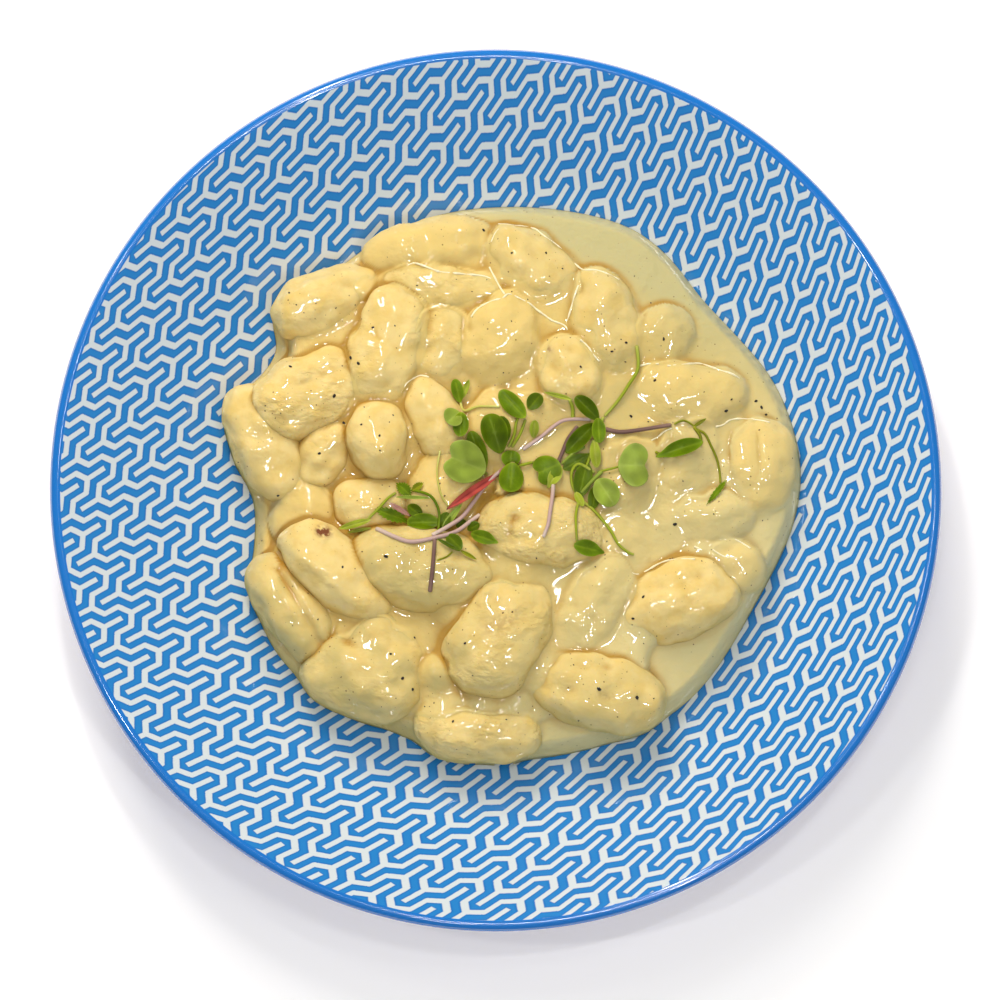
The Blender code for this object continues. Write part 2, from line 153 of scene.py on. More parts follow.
class Graph:
    """A material's nodes, ending in one Principled shader."""

    def __init__(self, name: str, **constants: "float | Colour") -> None:
        """Start a material.

        Args:
            name: The material's name.
            constants: Values for the shader's sockets, with _ for a space in a socket's name.
        """
        self.material = bpy.data.materials.new(name)
        self.material.use_nodes = True
        self.tree = self.material.node_tree
        self.shader = self.tree.nodes["Principled BSDF"]
        for socket, value in constants.items():
            filled = (*value, 1.0) if socket.endswith(("Color", "Tint")) else value
            self.shader.inputs[socket.replace("_", " ")].default_value = filled

    def node(self, kind: str, settings: dict, sockets: dict, output: "int | str" = 0) -> Wire:
        """Add any node.

        Args:
            kind: The node's type.
            settings: Its properties, which are set first.
            sockets: Numbers, colours or wires for its inputs, by name or place.
            output: Which of its outputs to return.

        Returns:
            The output as a wire.
        """
        made = self.tree.nodes.new(kind)
        for name, value in settings.items():
            setattr(made, name, value)
        for key, value in sockets.items():
            if isinstance(value, Wire):
                self.tree.links.new(value.socket, made.inputs[key])
            else:
                made.inputs[key].default_value = value
        return Wire(self, made.outputs[output])

    def place(self) -> Wire:
        """The point on the piece, in metres."""
        return self.node("ShaderNodeTexCoord", {}, {}, "Object")

    def parts(self, vector: Wire) -> tuple[Wire, Wire, Wire]:
        """The three numbers of a vector."""
        first = self.node("ShaderNodeSeparateXYZ", {}, {0: vector})
        return tuple(Wire(self, first.socket.node.outputs[i]) for i in range(3))

    def attribute(self, name: str) -> Wire:
        """A number painted on the piece's points."""
        return self.node("ShaderNodeAttribute", {"attribute_name": name}, {}, "Fac")

    def grain(self, size: float, detail: float = 2.0, where: "Wire | None" = None) -> Wire:
        """Cloudy noise from 0 to 1.

        Args:
            size: The clouds' size in metres.
            detail: How many finer octaves it has.
            where: The coordinates, the point on the piece if left out.

        Returns:
            The noise.
        """
        sockets = {"Vector": where or self.place(), "Scale": 1.0 / size, "Detail": detail}
        return self.node("ShaderNodeTexNoise", {}, sockets, 0)

    def drawn_out(self, turn: float, stretch: float) -> Wire:
        """Squeeze the point on the piece along one heading, so that noise comes out in streaks.

        Args:
            turn: The heading.
            stretch: How many times as long as wide the streaks are.

        Returns:
            The squeezed point.
        """
        squeeze = {"Rotation": (0.0, 0.0, turn), "Scale": (1.0 / stretch, 1.0, 1.0)}
        sockets = {"Vector": self.place(), **squeeze}
        return self.node("ShaderNodeMapping", {"vector_type": "POINT"}, sockets)

    def dots(self, spacing: float, radius: float) -> Wire:
        """Scatter round dots.

        Args:
            spacing: How far apart they lie, in metres.
            radius: A dot's radius, in metres.

        Returns:
            1 in a dot, else 0.
        """
        sockets = {"Vector": self.place(), "Scale": 1.0 / spacing}
        away = self.node("ShaderNodeTexVoronoi", {}, sockets, "Distance")
        return away.ramp(radius / spacing, 0.5 * radius / spacing)

    def blend(self, first: "Wire | Colour", second: "Wire | Colour", share: "Wire | float") -> Wire:
        """Mix two colours.

        Args:
            first: The colour at share 0.
            second: The colour at share 1.
            share: How much of the second.

        Returns:
            The mixed colour.
        """
        ends = [c if isinstance(c, Wire) else (*c, 1.0) for c in (first, second)]
        return self.node("ShaderNodeMix", {"data_type": "RGBA"}, {0: share, 6: ends[0], 7: ends[1]}, 2)

    def feed(self, socket: str, value: Wire) -> None:
        """Link a wire to one of the shader's sockets."""
        self.tree.links.new(value.socket, self.shader.inputs[socket])

    def bump(self, height: Wire, depth: float) -> None:
        """Roughen the surface by a height from 0 to 1 that is depth metres deep."""
        sockets = {"Height": height, "Distance": depth, "Strength": 1.0}
        self.feed("Normal", self.node("ShaderNodeBump", {}, sockets))


# ------------------------------------------------------------------------------ mesh helpers


def add_piece(name: str, body: bmesh.types.BMesh, *materials: bpy.types.Material) -> bpy.types.Object:
    """Turn a bmesh into a smooth object that rides on the part.

    Args:
        name: The object's name.
        body: The shape, which is freed.
        materials: Its materials, in the order of its faces' material numbers.

    Returns:
        The object.
    """
    mesh = bpy.data.meshes.new(name)
    body.to_mesh(mesh)
    body.free()
    mesh.shade_smooth()
    for material in materials:
        mesh.materials.append(material)
    piece = bpy.data.objects.new(name, mesh)
    bpy.context.scene.collection.objects.link(piece)
    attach(piece, BODY)
    return piece


def paint(piece: bpy.types.Object, name: str, values: np.ndarray) -> None:
    """Store a number for each point of a piece, for its material to read."""
    layer = piece.data.attributes.new(name, "FLOAT", "POINT")
    layer.data.foreach_set("value", values.astype(np.float32))


def spots_of(piece: bpy.types.Object) -> np.ndarray:
    """List the points of a piece.

    Args:
        piece: The piece.

    Returns:
        The points, one row each.
    """
    flat = np.zeros(len(piece.data.vertices) * 3)
    piece.data.vertices.foreach_get("co", flat)
    return flat.reshape(-1, 3)


def levels_of(piece: bpy.types.Object) -> np.ndarray:
    """Tell how level a piece's surface is.

    Args:
        piece: The piece.

    Returns:
        1 at the points where it faces up, down to 0 where it is steep.
    """
    flat = np.zeros(len(piece.data.vertices) * 3)
    piece.data.vertices.foreach_get("normal", flat)
    return np.clip((flat.reshape(-1, 3)[:, 2] - STEEP) / (LEVEL - STEEP), 0.0, 1.0)


def on_curve(route: Route, place: float) -> tuple[float, float]:
    """A point on the smooth curve through a route's points.

    Args:
        route: The points, in mm.
        place: How far along, in points.

    Returns:
        Its X and Y, in metres.
    """
    k = min(int(place), len(route) - 2)
    t = place - k
    a, b, c, d = (Vector(route[min(max(i, 0), len(route) - 1)]) for i in range(k - 1, k + 3))
    point = b + (c - a) * (t / 2) + (a * 2 - b * 5 + c * 4 - d) * (t * t / 2)
    point += (b * 3 - a - c * 3 + d) * (t ** 3 / 2)
    return point.x * MM, point.y * MM


def laid_out(route: Route, per_bend: int) -> list[tuple[float, float]]:
    """Points along a route's curve, per_bend of them for each of its stretches."""
    return [on_curve(route, k / per_bend) for k in range((len(route) - 1) * per_bend + 1)]


def sweep(body: bmesh.types.BMesh, spine: list[Vector], girths: list[float],
          tint: "bmesh.types.BMLayerItem | None" = None,
          colours: "list[Vector] | None" = None) -> None:
    """Add a closed round strand along a line.

    Args:
        body: The shape that it is added to.
        spine: The line's points.
        girths: The strand's radius at each of them.
        tint: A layer of colours, if the shape has one.
        colours: The colour at each of the points.
    """
    last = len(spine) - 1
    narrowing = (1.0, 0.7, 0.0)
    caps = len(narrowing) - 1
    rows = last + 2 * caps
    grid = bmesh.ops.create_grid(body, x_segments=rows, y_segments=8, size=1.0)["verts"]
    for vert in grid:
        row = round((vert.co.x + 1) / 2 * rows) - caps
        turn = pi * vert.co.y
        k = min(max(row, 0), last)
        past = abs(row - k)
        along = (spine[min(k + 1, last)] - spine[max(k - 1, 0)]).normalized()
        side = along.cross(Vector((0, 0, 1))).normalized()
        up = side.cross(along)
        nose = along * (0.3 * girths[k] * past * (1 if row > k else -1))
        vert.co = spine[k] + nose + (side * cos(turn) + up * sin(turn)) * girths[k] * narrowing[past]
        if tint:
            vert[tint] = (*colours[k], 1.0)
    bmesh.ops.remove_doubles(body, verts=grid, dist=0.001 * MM)


def turned(section: list[tuple[float, float]], sides: int) -> bmesh.types.BMesh:
    """Spin a half section about +Z.

    Args:
        section: Distance from the axis and height of each of its points.
        sides: How many steps the turn has.

    Returns:
        The turned shape.
    """
    body = bmesh.new()
    points = [body.verts.new((r, 0.0, z)) for r, z in section]
    edges = [body.edges.new(pair) for pair in zip(points, points[1:])]
    bmesh.ops.spin(body, geom=points + edges, cent=(0, 0, 0), axis=(0, 0, 1), angle=2 * pi,
                   steps=sides, use_merge=True)
    bmesh.ops.remove_doubles(body, verts=body.verts, dist=0.002 * MM)
    bmesh.ops.recalc_face_normals(body, faces=body.faces)
    return body


def swell(distance: float, width: float) -> float:
    """A soft bell: 1 at distance 0, about 0 past twice the width."""
    return exp(-(distance / width) ** 2)


def from_segment(x: float, y: float, start: tuple[float, float], end: tuple[float, float]) -> float:
    """Measure from a point to a straight stretch, in the plane.

    Args:
        x: The point's place along X.
        y: The point's place along Y.
        start: Where the stretch starts.
        end: Where it ends.

    Returns:
        The distance.
    """
    run = Vector(end) - Vector(start)
    share = min(max((Vector((x, y)) - Vector(start)).dot(run) / run.length_squared, 0.0), 1.0)
    return (Vector((x, y)) - Vector(start) - run * share).length


# ------------------------------------------------------------------------------ finishes


@dataclass(frozen=True)
class FretGlaze:
    """Glossy white glaze with an underglaze transfer: an isometric key fret in blue."""

    white: Colour = (0.575, 0.600, 0.600)
    blue: Colour = (0.010, 0.178, 0.47)
    deep_blue: Colour = (0.004, 0.105, 0.36)
    band_blue: Colour = (0.002, 0.138, 0.46)
    repeats: tuple[float, float] = (6.55, 7.51)
    cross_repeats: tuple[float, float] = (-7.00, 6.15)
    start: tuple[float, float] = (0.49, 0.45)
    line: float = 0.188
    stub: float = 1.3
    edge_blur: float = 0.035
    band_blur: float = 0.1 * MM
    pooling: tuple[float, float] = (0.16, 0.02)
    wobble: float = 0.05
    lean: float = radians(8.6)
    stretch: float = 0.12
    fan: tuple[float, float] = (0.22, 0.01)
    sag: tuple[float, float] = (0.315, 0.16)
    bow: float = -0.006

    def sheet_point(self, graph: Graph, reach: float, brim: float) -> tuple[Wire, Wire]:
        """Where a point of the bowl lies on the transfer, which was stretched as it was laid.

        Args:
            graph: The material's nodes.
            reach: The radius that counts as 1.
            brim: The height of the bowl's rim.

        Returns:
            How many repeats along and across the fret's rows.
        """
        x, y, z = graph.parts(graph.place())
        across = x * (1.0 / reach)
        up = (y * cos(self.lean) + (z - brim) * sin(self.lean)) * (1.0 / reach)
        spread = 1.0 + self.stretch * (across * across + up * up)
        fanned = across * spread * (1.0 + self.fan[0] * up + self.fan[1] * across)
        u = fanned + self.bow * up * up
        v = up * spread - self.sag[0] * across * across - self.sag[1] * up * up
        s = self.repeats[0] * u + self.repeats[1] * v + self.start[0]
        t = self.cross_repeats[0] * u + self.cross_repeats[1] * v + self.start[1]
        return s, t

    def from_line(self, s: Wire, t: Wire) -> Wire:
        """Measure from a point of the transfer to the fret's white lines.

        One cell holds a stub that ends flat, an arm that leaves it at 120 degrees, and the row
        that joins arm to arm.  The other cells are the same one turned half round.

        Args:
            s: Repeats along the rows.
            t: Repeats across the rows.

        Returns:
            The distance, negative inside a line.
        """
        row = sqrt(3.0) / 2.0
        lead = self.stub / 2.0
        fold = abs((t + 0.5).fraction() - 0.5)
        other = fold > 0.25
        along = s.fraction()
        along = along + other * ((0.0 - s).fraction() - along)
        fold = fold + other * (0.5 - 2.0 * fold)
        u = (along + lead / 2.0).fraction() * 2.0 - lead
        v = fold * (4.0 * row)
        stub = abs(v).most(abs(u - lead) - lead + self.line)
        share = (v * row - u * 0.5).most(0.0).least(1.0)
        arm_u = u + 0.5 * share
        arm_v = v - row * share
        arm = (arm_u * arm_u + arm_v * arm_v).root()
        gap = (abs(abs(u) - 1.0) - 0.5).most(0.0)
        rise = v - row
        joined = (gap * gap + rise * rise).root()
        return stub.least(arm).least(joined) - self.line

    def material(self, reach: float, brim: float, print_edge: float) -> bpy.types.Material:
        """The bowl's printed face.

        Args:
            reach: The transfer's radius.
            brim: The height of the bowl's rim.
            print_edge: Where the print stops and the plain blue band starts.

        Returns:
            The material.
        """
        graph = Graph("fret_glaze", Roughness=0.16, Coat_Weight=1.0, Coat_Roughness=0.04,
                      Specular_IOR_Level=0.4)
        s, t = self.sheet_point(graph, reach, brim)
        away = self.from_line(s, t) + (graph.grain(1.6 * MM) - 0.5) * self.wobble
        cloud = graph.grain(9.0 * MM)
        pooled = away.ramp(*self.pooling) * (0.35 + 0.5 * cloud)
        ink = graph.blend(self.blue, self.deep_blue, pooled)
        shown = graph.blend(self.white, ink, away.ramp(-self.edge_blur, self.edge_blur))
        x, y, _ = graph.parts(graph.place())
        radius = (x * x + y * y).root()
        band = radius.ramp(print_edge - self.band_blur, print_edge + self.band_blur)
        graph.feed("Base Color", graph.blend(shown, self.band_blue, band))
        graph.bump(graph.grain(14.0 * MM, 1.0), 0.05 * MM)
        return graph.material


@dataclass(frozen=True)
class PlainGlaze:
    """The plain blue glaze of the bowl's outside."""

    blue: Colour = (0.006, 0.135, 0.50)
    thin: Colour = (0.05, 0.24, 0.66)

    def material(self) -> bpy.types.Material:
        """Glaze, a little lighter where it has run thin.

        Returns:
            The material.
        """
        graph = Graph("plain_blue_glaze", Roughness=0.14, Coat_Weight=1.0, Coat_Roughness=0.04)
        run_thin = graph.grain(20.0 * MM).ramp(0.35, 0.8) * 0.4
        graph.feed("Base Color", graph.blend(self.blue, self.thin, run_thin))
        graph.bump(graph.grain(12.0 * MM, 1.0), 0.06 * MM)
        return graph.material


@dataclass(frozen=True)
class BareClay:
    """The unglazed stoneware of the foot ring."""

    clay: Colour = (0.62, 0.56, 0.47)
    dark: Colour = (0.42, 0.36, 0.29)

    def material(self) -> bpy.types.Material:
        """Matt, slightly sandy clay.

        Returns:
            The material.
        """
        graph = Graph("bare_clay", Roughness=0.82)
        grit = graph.grain(0.7 * MM, 3.0)
        graph.feed("Base Color", graph.blend(self.clay, self.dark, grit.ramp(0.45, 0.85)))
        graph.bump(grit, 0.12 * MM)
        return graph.material


@dataclass(frozen=True)
class Cream:
    """Soft, wet food under cream: the dough's coat and the sauce share it with other numbers."""

    name: str
    pale: Colour
    deep: Colour
    # Painted shade: the darker amber of the heap's creases.
    crease_shade_colour: Colour
    dull: Colour = (0.56, 0.425, 0.152)
    khaki: Colour = (0.49, 0.42, 0.195)
    # Painted light: a lighter milky colour for the sauce's near right slope, which the lamps leave in shade.
    painted_light: Colour = (0.66, 0.56, 0.28)
    warm: Colour = (0.69, 0.495, 0.165)
    toast: Colour = (0.19, 0.060, 0.018)
    fleck: Colour = (0.15, 0.075, 0.028)
    roughness: float = 0.24
    relief: float = 0.6 * MM
    streak_heading: float = radians(38.0)
    streak_stretch: float = 1.7
    film: bool = False

    def tinted(self, graph: Graph) -> Wire:
        """Colour by depth in the heap, with dark specks and toasted spots.

        Args:
            graph: The material's nodes.

        Returns:
            Colour with painted shade deep in the heap's creases and painted light on the sauce's near right
            slope, with dark specks and toasted spots.
        """
        mottle = graph.grain(5.0 * MM, 4.0)
        base = graph.blend(self.pale, self.deep, mottle.ramp(0.35, 0.68))
        clouded = 0.45 + 0.85 * graph.grain(9.0 * MM, 2.0).ramp(0.36, 0.64)
        base = graph.blend(base, self.dull, graph.attribute("veil") * clouded)
        # The crease colour is painted shade and the milky colour is painted light; khaki and the warm dough below
        # thin sauce are the food's own.
        painted = {"khaki": self.khaki, "painted_light": self.painted_light, "over": self.warm, "crease_shade": self.crease_shade_colour}
        for name, colour in painted.items():
            base = graph.blend(base, colour, graph.attribute(name))
        dots = graph.dots(2.6 * MM, 0.30 * MM) * graph.grain(9.0 * MM).ramp(0.42, 0.60)
        dust = graph.dots(1.5 * MM, 0.17 * MM) * graph.grain(14.0 * MM).ramp(0.40, 0.60)
        base = graph.blend(base, self.fleck, (dots * 0.85).most(dust * 0.7))
        toasted = graph.attribute("toast") * graph.grain(1.2 * MM, 3.0).ramp(0.30, 0.62)
        return graph.blend(base, self.toast, toasted)

    def rumpled(self, graph: Graph) -> Wire:
        """Soft waves all over, with folds and wrinkles in patches where the skin is crumpled.

        Args:
            graph: The material's nodes.

        Returns:
            The height of the relief.
        """
        crumple = graph.attribute("crumple")
        streaks = graph.drawn_out(self.streak_heading, self.streak_stretch)
        folds = graph.grain(1.9 * MM, 1.5, streaks)
        patches = graph.grain(8.0 * MM, 1.0).ramp(0.40, 0.60)
        swells = 0.42 * graph.grain(4.5 * MM, 1.0) + 0.20 * graph.grain(2.2 * MM, 1.0)
        waves = swells + (0.10 + 0.12 * patches) * graph.grain(1.3 * MM, 1.0)
        wrinkles = (abs(graph.grain(3.0 * MM, 3.0, streaks) - 0.5) * 7.0).least(1.0)
        waves = waves + crumple.most(0.35) * patches * (1.1 * folds)
        return waves + crumple.ramp(0.3, 1.0) * (0.3 + 0.7 * patches) * (0.34 * wrinkles)

    def material(self) -> bpy.types.Material:
        """Soft, glossy skin, with a film that thins out where the sauce has one.

        Returns:
            The material.
        """
        graph = Graph(self.name, Subsurface_Weight=0.42, Subsurface_Radius=(1.0, 0.66, 0.32),
                      Subsurface_Scale=2.2 * MM, Coat_Roughness=0.05, Specular_IOR_Level=0.0)
        graph.feed("Base Color", self.tinted(graph))
        graph.feed("Coat Weight", graph.attribute("level"))
        graph.feed("Roughness", self.roughness + 0.10 * graph.grain(3.0 * MM))
        graph.bump(self.rumpled(graph), self.relief)
        if self.film:
            graph.feed("Alpha", 1.0 - 0.55 * graph.attribute("film"))
        return graph.material


@dataclass(frozen=True)
class FreshGreens:
    """Soft stems and blades, each point in its own colour."""

    def material(self) -> bpy.types.Material:
        """Thin, faintly glossy and a little see-through to light.

        Returns:
            The material.
        """
        graph = Graph("fresh_greens", Roughness=0.36, Subsurface_Weight=0.10,
                      Subsurface_Radius=(0.5, 1.0, 0.2), Subsurface_Scale=0.8 * MM,
                      Specular_IOR_Level=0.16)
        tint = graph.node("ShaderNodeAttribute", {"attribute_name": "tint"}, {}, "Color")
        graph.feed("Base Color", tint)
        graph.bump(graph.grain(0.9 * MM, 2.0), 0.06 * MM)
        return graph.material


DOUGH = Cream("sauced_dough", pale=(0.74, 0.55, 0.215), deep=(0.69, 0.48, 0.15),
              crease_shade_colour=(0.42, 0.215, 0.03))
SAUCE = Cream("cream_sauce", pale=(0.69, 0.50, 0.175), deep=(0.65, 0.455, 0.14),
              crease_shade_colour=(0.42, 0.235, 0.04), roughness=0.22, film=True)


# ------------------------------------------------------------------------------ bowl


@dataclass
class CoupeBowl:
    """The bowl: a printed upper face over a plain blue body that stands on a bare foot ring."""

    floor_top: float = 7.2 * MM
    floor_radius: float = 50.0 * MM
    bend_radius: float = 91.0 * MM
    wall_angle: float = radians(30.0)
    wall: float = 3.8 * MM
    foot_outer: float = 57.0 * MM
    foot_inner: float = 52.0 * MM
    foot_round: float = 1.0 * MM
    base_underside: float = 2.4 * MM
    print_margin: float = 2.8 * MM
    print_inset: float = 0.8 * MM
    skin: float = 0.9 * MM
    sides: int = 224
    face_steps: int = 56
    lining_steps: int = 24
    under_steps: int = 20
    lip_steps: int = 8
    rim: float = field(init=False)
    brim: float = field(init=False)

    def __post_init__(self) -> None:
        """Take the rim's radius and height from the frame."""
        low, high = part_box("bowl")
        self.rim = (high.x - low.x) / 2
        self.brim = high.z

    def floor(self, radius: float) -> float:
        """Height of the eating face.

        Args:
            radius: Distance from the axis.

        Returns:
            The height.
        """
        bend = self.bend_radius - self.floor_radius
        bent = min(max(radius - self.floor_radius, 0.0), bend)
        straight = max(radius - self.bend_radius, 0.0)
        return self.floor_top + tan(self.wall_angle) * (bent ** 2 / (2 * bend) + straight)

    def slope(self, radius: float) -> float:
        """How steeply the eating face rises at a distance from the axis."""
        bent = (radius - self.floor_radius) / (self.bend_radius - self.floor_radius)
        return tan(self.wall_angle) * min(max(bent, 0.0), 1.0)

    def lip(self, steps: int, first: float, last: float) -> list[tuple[float, float]]:
        """Points round the rolled rim.

        Args:
            steps: How many stretches there are between them.
            first: The share of the rim's half turn where they start.
            last: The share where they end.

        Returns:
            Distance from the axis and height of each point.
        """
        round_off = self.wall / 2
        middle = self.rim - round_off
        height = self.floor(middle) - round_off / cos(self.wall_angle)
        shares = [first + (last - first) * k / steps for k in range(steps + 1)]
        turns = [pi / 2 + self.wall_angle - pi * share for share in shares]
        return [(middle + round_off * cos(turn), height + round_off * sin(turn)) for turn in turns]

    def lining(self, depth: float) -> list[tuple[float, float]]:
        """Points inside the wall, from the middle to the lip.

        Args:
            depth: How far they lie below the eating face.

        Returns:
            Distance from the axis and height of each point.
        """
        reach, steps = self.rim - self.wall / 2, self.lining_steps
        radii = [reach * k / steps for k in range(steps + 1)]
        return [(r, self.floor(r) - depth) for r in radii]

    def face_section(self) -> list[tuple[float, float]]:
        """Half section of the printed skin.

        Returns:
            Its points, from the middle over the rim and back inside the wall.
        """
        edge = self.lip(self.lip_steps, 0.0, 0.5)
        radii = [edge[0][0] * k / self.face_steps for k in range(self.face_steps)]
        return [(r, self.floor(r)) for r in radii] + edge + self.lining(self.skin)[::-1]

    def body_section(self) -> list[tuple[float, float]]:
        """Half section of the rest of the bowl.

        Returns:
            Its points, from over the rim down to the base and back below the printed skin.
        """
        root = self.foot_outer + 2.5 * self.foot_round
        start = self.lip(self.lip_steps, 0.5, 1.0)
        reach, steps = start[-1][0], self.under_steps
        radii = [reach + (root - reach) * k / steps for k in range(1, steps + 1)]
        under = [(r, self.floor(r) - self.wall * sqrt(1 + self.slope(r) ** 2)) for r in radii]
        bead, base = self.foot_round, self.base_underside
        foot = [(self.foot_outer + 0.6 * bead, base + 0.4 * bead)]
        foot += self.corner(self.foot_outer - bead, bead, 0.0, -pi / 2)
        foot += self.corner(self.foot_inner + bead, bead, -pi / 2, -pi)
        inner = [(self.foot_inner - 0.4 * bead, base), (0.0, base)]
        return start + under + foot + inner + self.lining(1.3 * self.skin) + start[:1]

    def corner(self, radius: float, height: float, start: float, end: float) -> list[tuple[float, float]]:
        """A rounded corner of the foot ring."""
        turns = [start + (end - start) * k / 4 for k in range(5)]
        return [(radius + self.foot_round * cos(t), height + self.foot_round * sin(t)) for t in turns]

    def spread_flat(self, face: bmesh.types.BMesh) -> None:
        """Map the printed face from above for the bake, with its hidden lining small in a corner.

        Args:
            face: The printed skin.
        """
        layer = face.loops.layers.uv.new("OFBake")
        for one in face.faces:
            middle, scale = (0.5, 0.497) if one.normal.z > 0 else (0.03, 0.02)
            for corner in one.loops:
                corner[layer].uv = [middle + scale * c / self.rim for c in corner.vert.co.xy]

    def build(self) -> list[bpy.types.Object]:
        """Make the printed face and the body.

        Returns:
            The two pieces.
        """
        print_edge = self.rim - self.print_margin
        glaze = FretGlaze().material(self.rim - self.print_inset, self.brim, print_edge)
        face = turned(self.face_section(), self.sides)
        self.spread_flat(face)
        printed = add_piece("printed_face", face, glaze)
        body = turned(self.body_section(), self.sides)
        for one in body.faces:
            one.material_index = int(one.calc_center_median().z < self.foot_round * 0.8)
        shell = add_piece("bowl_body", body, PlainGlaze().material(), BareClay().material())
        for piece in (printed, shell):
            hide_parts("bowl")
        return [printed, shell]


# ------------------------------------------------------------------------------ gnocchi


class Coat(Enum):
    """How far the sauce lies past a gnocco's skin, in metres: below 0 its skin stands clear."""

    BARE = -0.75 * MM
    THIN = -0.30 * MM
    THICK = 0.45 * MM


@dataclass(frozen=True)
class Mark:
    """A crease, ridge, dimple or toasted patch, in mm from the gnocco's middle."""

    start: tuple[float, float]
    end: tuple[float, float]
    depth: float
    width: float
    toast: float = 0.0


@dataclass(frozen=True)
class Traits:
    """What sets one gnocco apart."""

    coat: Coat = Coat.THICK
    crumple: float = 0.15
    marks: tuple[Mark, ...] = ()
    veil: float = 0.3
    shift: tuple[float, float] = (0.0, 0.0)
    lift: float = 0.0
    stretch: tuple[float, float] = (1.0, 1.0)
    bulges: tuple[tuple[float, float, float], ...] = ()


@dataclass
class Gnocco:
    """One potato dumpling, moulded on its solid in the frame."""

    node: str
    traits: Traits
    cuts: int = 21
    melting: int = 16
    block: tuple[float, float, float] = (1.6, 1.0, 0.9)
    plump: float = 1.25 * MM
    lump: float = 1.4 * MM
    lump_sizes: tuple[float, float] = (9.0 * MM, 4.0 * MM)
    small_lumps: float = 0.45
    rim_start: float = 60.0 * MM
    middle: Vector = field(init=False)
    skin: BVHTree = field(init=False)
    low: np.ndarray = field(init=False)
    high: np.ndarray = field(init=False)
    rim_spots: np.ndarray = field(init=False)

    def cage(self) -> tuple[BVHTree, Vector, Matrix]:
        """Read the solid in the frame.

        Returns:
            Its surface, its middle and its own axes, longest first.
        """
        copy = bmesh.new()
        copy.from_mesh(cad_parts[self.node].data)
        bmesh.ops.remove_doubles(copy, verts=copy.verts, dist=0.01 * MM)
        tree = BVHTree.FromBMesh(copy)
        weights = [(f.calc_center_median(), f.calc_area()) for f in copy.faces]
        copy.free()
        total = sum(w for _, w in weights)
        middle = sum((c * w for c, w in weights), Vector()) / total
        spread = sum(np.outer(c - middle, c - middle) * w for c, w in weights) / total
        _, axes = np.linalg.eigh(spread)
        turn = Matrix([axes[:, i] for i in reversed(range(3))]).transposed()
        if turn.determinant() < 0:
            turn.col[2] = -turn.col[2]
        return tree, middle, turn

    def body(self) -> bmesh.types.BMesh:
        """Wrap a rounded block on the solid and melt its edges.

        Returns:
            The plain pillow.
        """
        tree, self.middle, turn = self.cage()
        shape = bmesh.new()
        bmesh.ops.create_cube(shape, size=2.0)
        bmesh.ops.subdivide_edges(shape, edges=shape.edges, cuts=self.cuts, use_grid_fill=True)
        for vert in shape.verts:
            even = Vector([side * tan(c * pi / 4) for side, c in zip(self.block, vert.co)])
            ray = (turn @ even).normalized()
            vert.co = tree.ray_cast(self.middle, ray)[0] or self.middle + ray * MM
        for _ in range(self.melting):
            bmesh.ops.smooth_vert(shape, verts=shape.verts, factor=0.5, use_axis_x=True,
                                  use_axis_y=True, use_axis_z=True)
        push = Vector((*self.traits.shift, self.traits.lift)) * MM
        about = Matrix.Translation(-self.middle)
        bmesh.ops.scale(shape, verts=shape.verts, vec=(*self.traits.stretch, 1.0), space=about)
        bmesh.ops.translate(shape, verts=shape.verts, vec=push)
        self.middle += push
        shape.normal_update()
        return shape

    def mould(self, shape: bmesh.types.BMesh) -> np.ndarray:
        """Plump the pillow up and give it lumps, creases and dimples.

        Args:
            shape: The plain pillow, which is changed.

        Returns:
            How toasted each of its points is.
        """
        toast = np.zeros(len(shape.verts))
        moves = []
        for i, vert in enumerate(shape.verts):
            large, small = (noise.noise(vert.co / size) for size in self.lump_sizes)
            move = self.plump + self.lump * (large + self.small_lumps * small)
            x, y = (vert.co.xy - self.middle.xy) / MM
            facing = max(vert.normal.z, 0.0)
            for heading, push, width in self.traits.bulges:
                away = (atan2(y, x) - radians(heading) + pi) % (2 * pi) - pi
                move += push * MM * swell(away, radians(width)) * vert.normal.xy.length
            for mark in self.traits.marks:
                near = swell(from_segment(x, y, mark.start, mark.end), mark.width) * facing
                move -= mark.depth * MM * near
                toast[i] = max(toast[i], mark.toast * near)
            moves.append(vert.normal * move)
        for vert, move in zip(shape.verts, moves):
            vert.co += move
        shape.normal_update()
        return toast

    def build(self, material: bpy.types.Material) -> bpy.types.Object:
        """Make the piece.

        Args:
            material: The sauced dough.

        Returns:
            The piece.
        """
        shape = self.body()
        toast = self.mould(shape)
        coat = self.traits.coat.value
        drowned = [(v.co + v.normal * coat) for v in shape.verts]
        self.skin = BVHTree.FromPolygons(drowned, [[v.index for v in f.verts] for f in shape.faces])
        spots = np.array(drowned)
        self.low, self.high = spots.min(0), spots.max(0)
        piece = add_piece(self.node.replace("gnocco", "dumpling"), shape, material)
        points = spots_of(piece)
        self.rim_spots = points[np.hypot(points[:, 0], points[:, 1]) > self.rim_start]
        paint(piece, "toast", toast)
        paint(piece, "crumple", np.full(len(toast), self.traits.crumple))
        paint(piece, "veil", np.full(len(toast), self.traits.veil))
        paint(piece, "level", levels_of(piece))
        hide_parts(self.node)
        return piece

    def top(self, x: float, y: float) -> "float | None":
        """Height of the sauce's skin over the gnocco.

        Args:
            x: Place along X.
            y: Place along Y.

        Returns:
            The height, None beside the gnocco.
        """
        if not (self.low[0] < x < self.high[0] and self.low[1] < y < self.high[1]):
            return None
        hit = self.skin.ray_cast(Vector((x, y, self.high[2] + MM)), DOWN)[0]
        return None if hit is None else hit.z


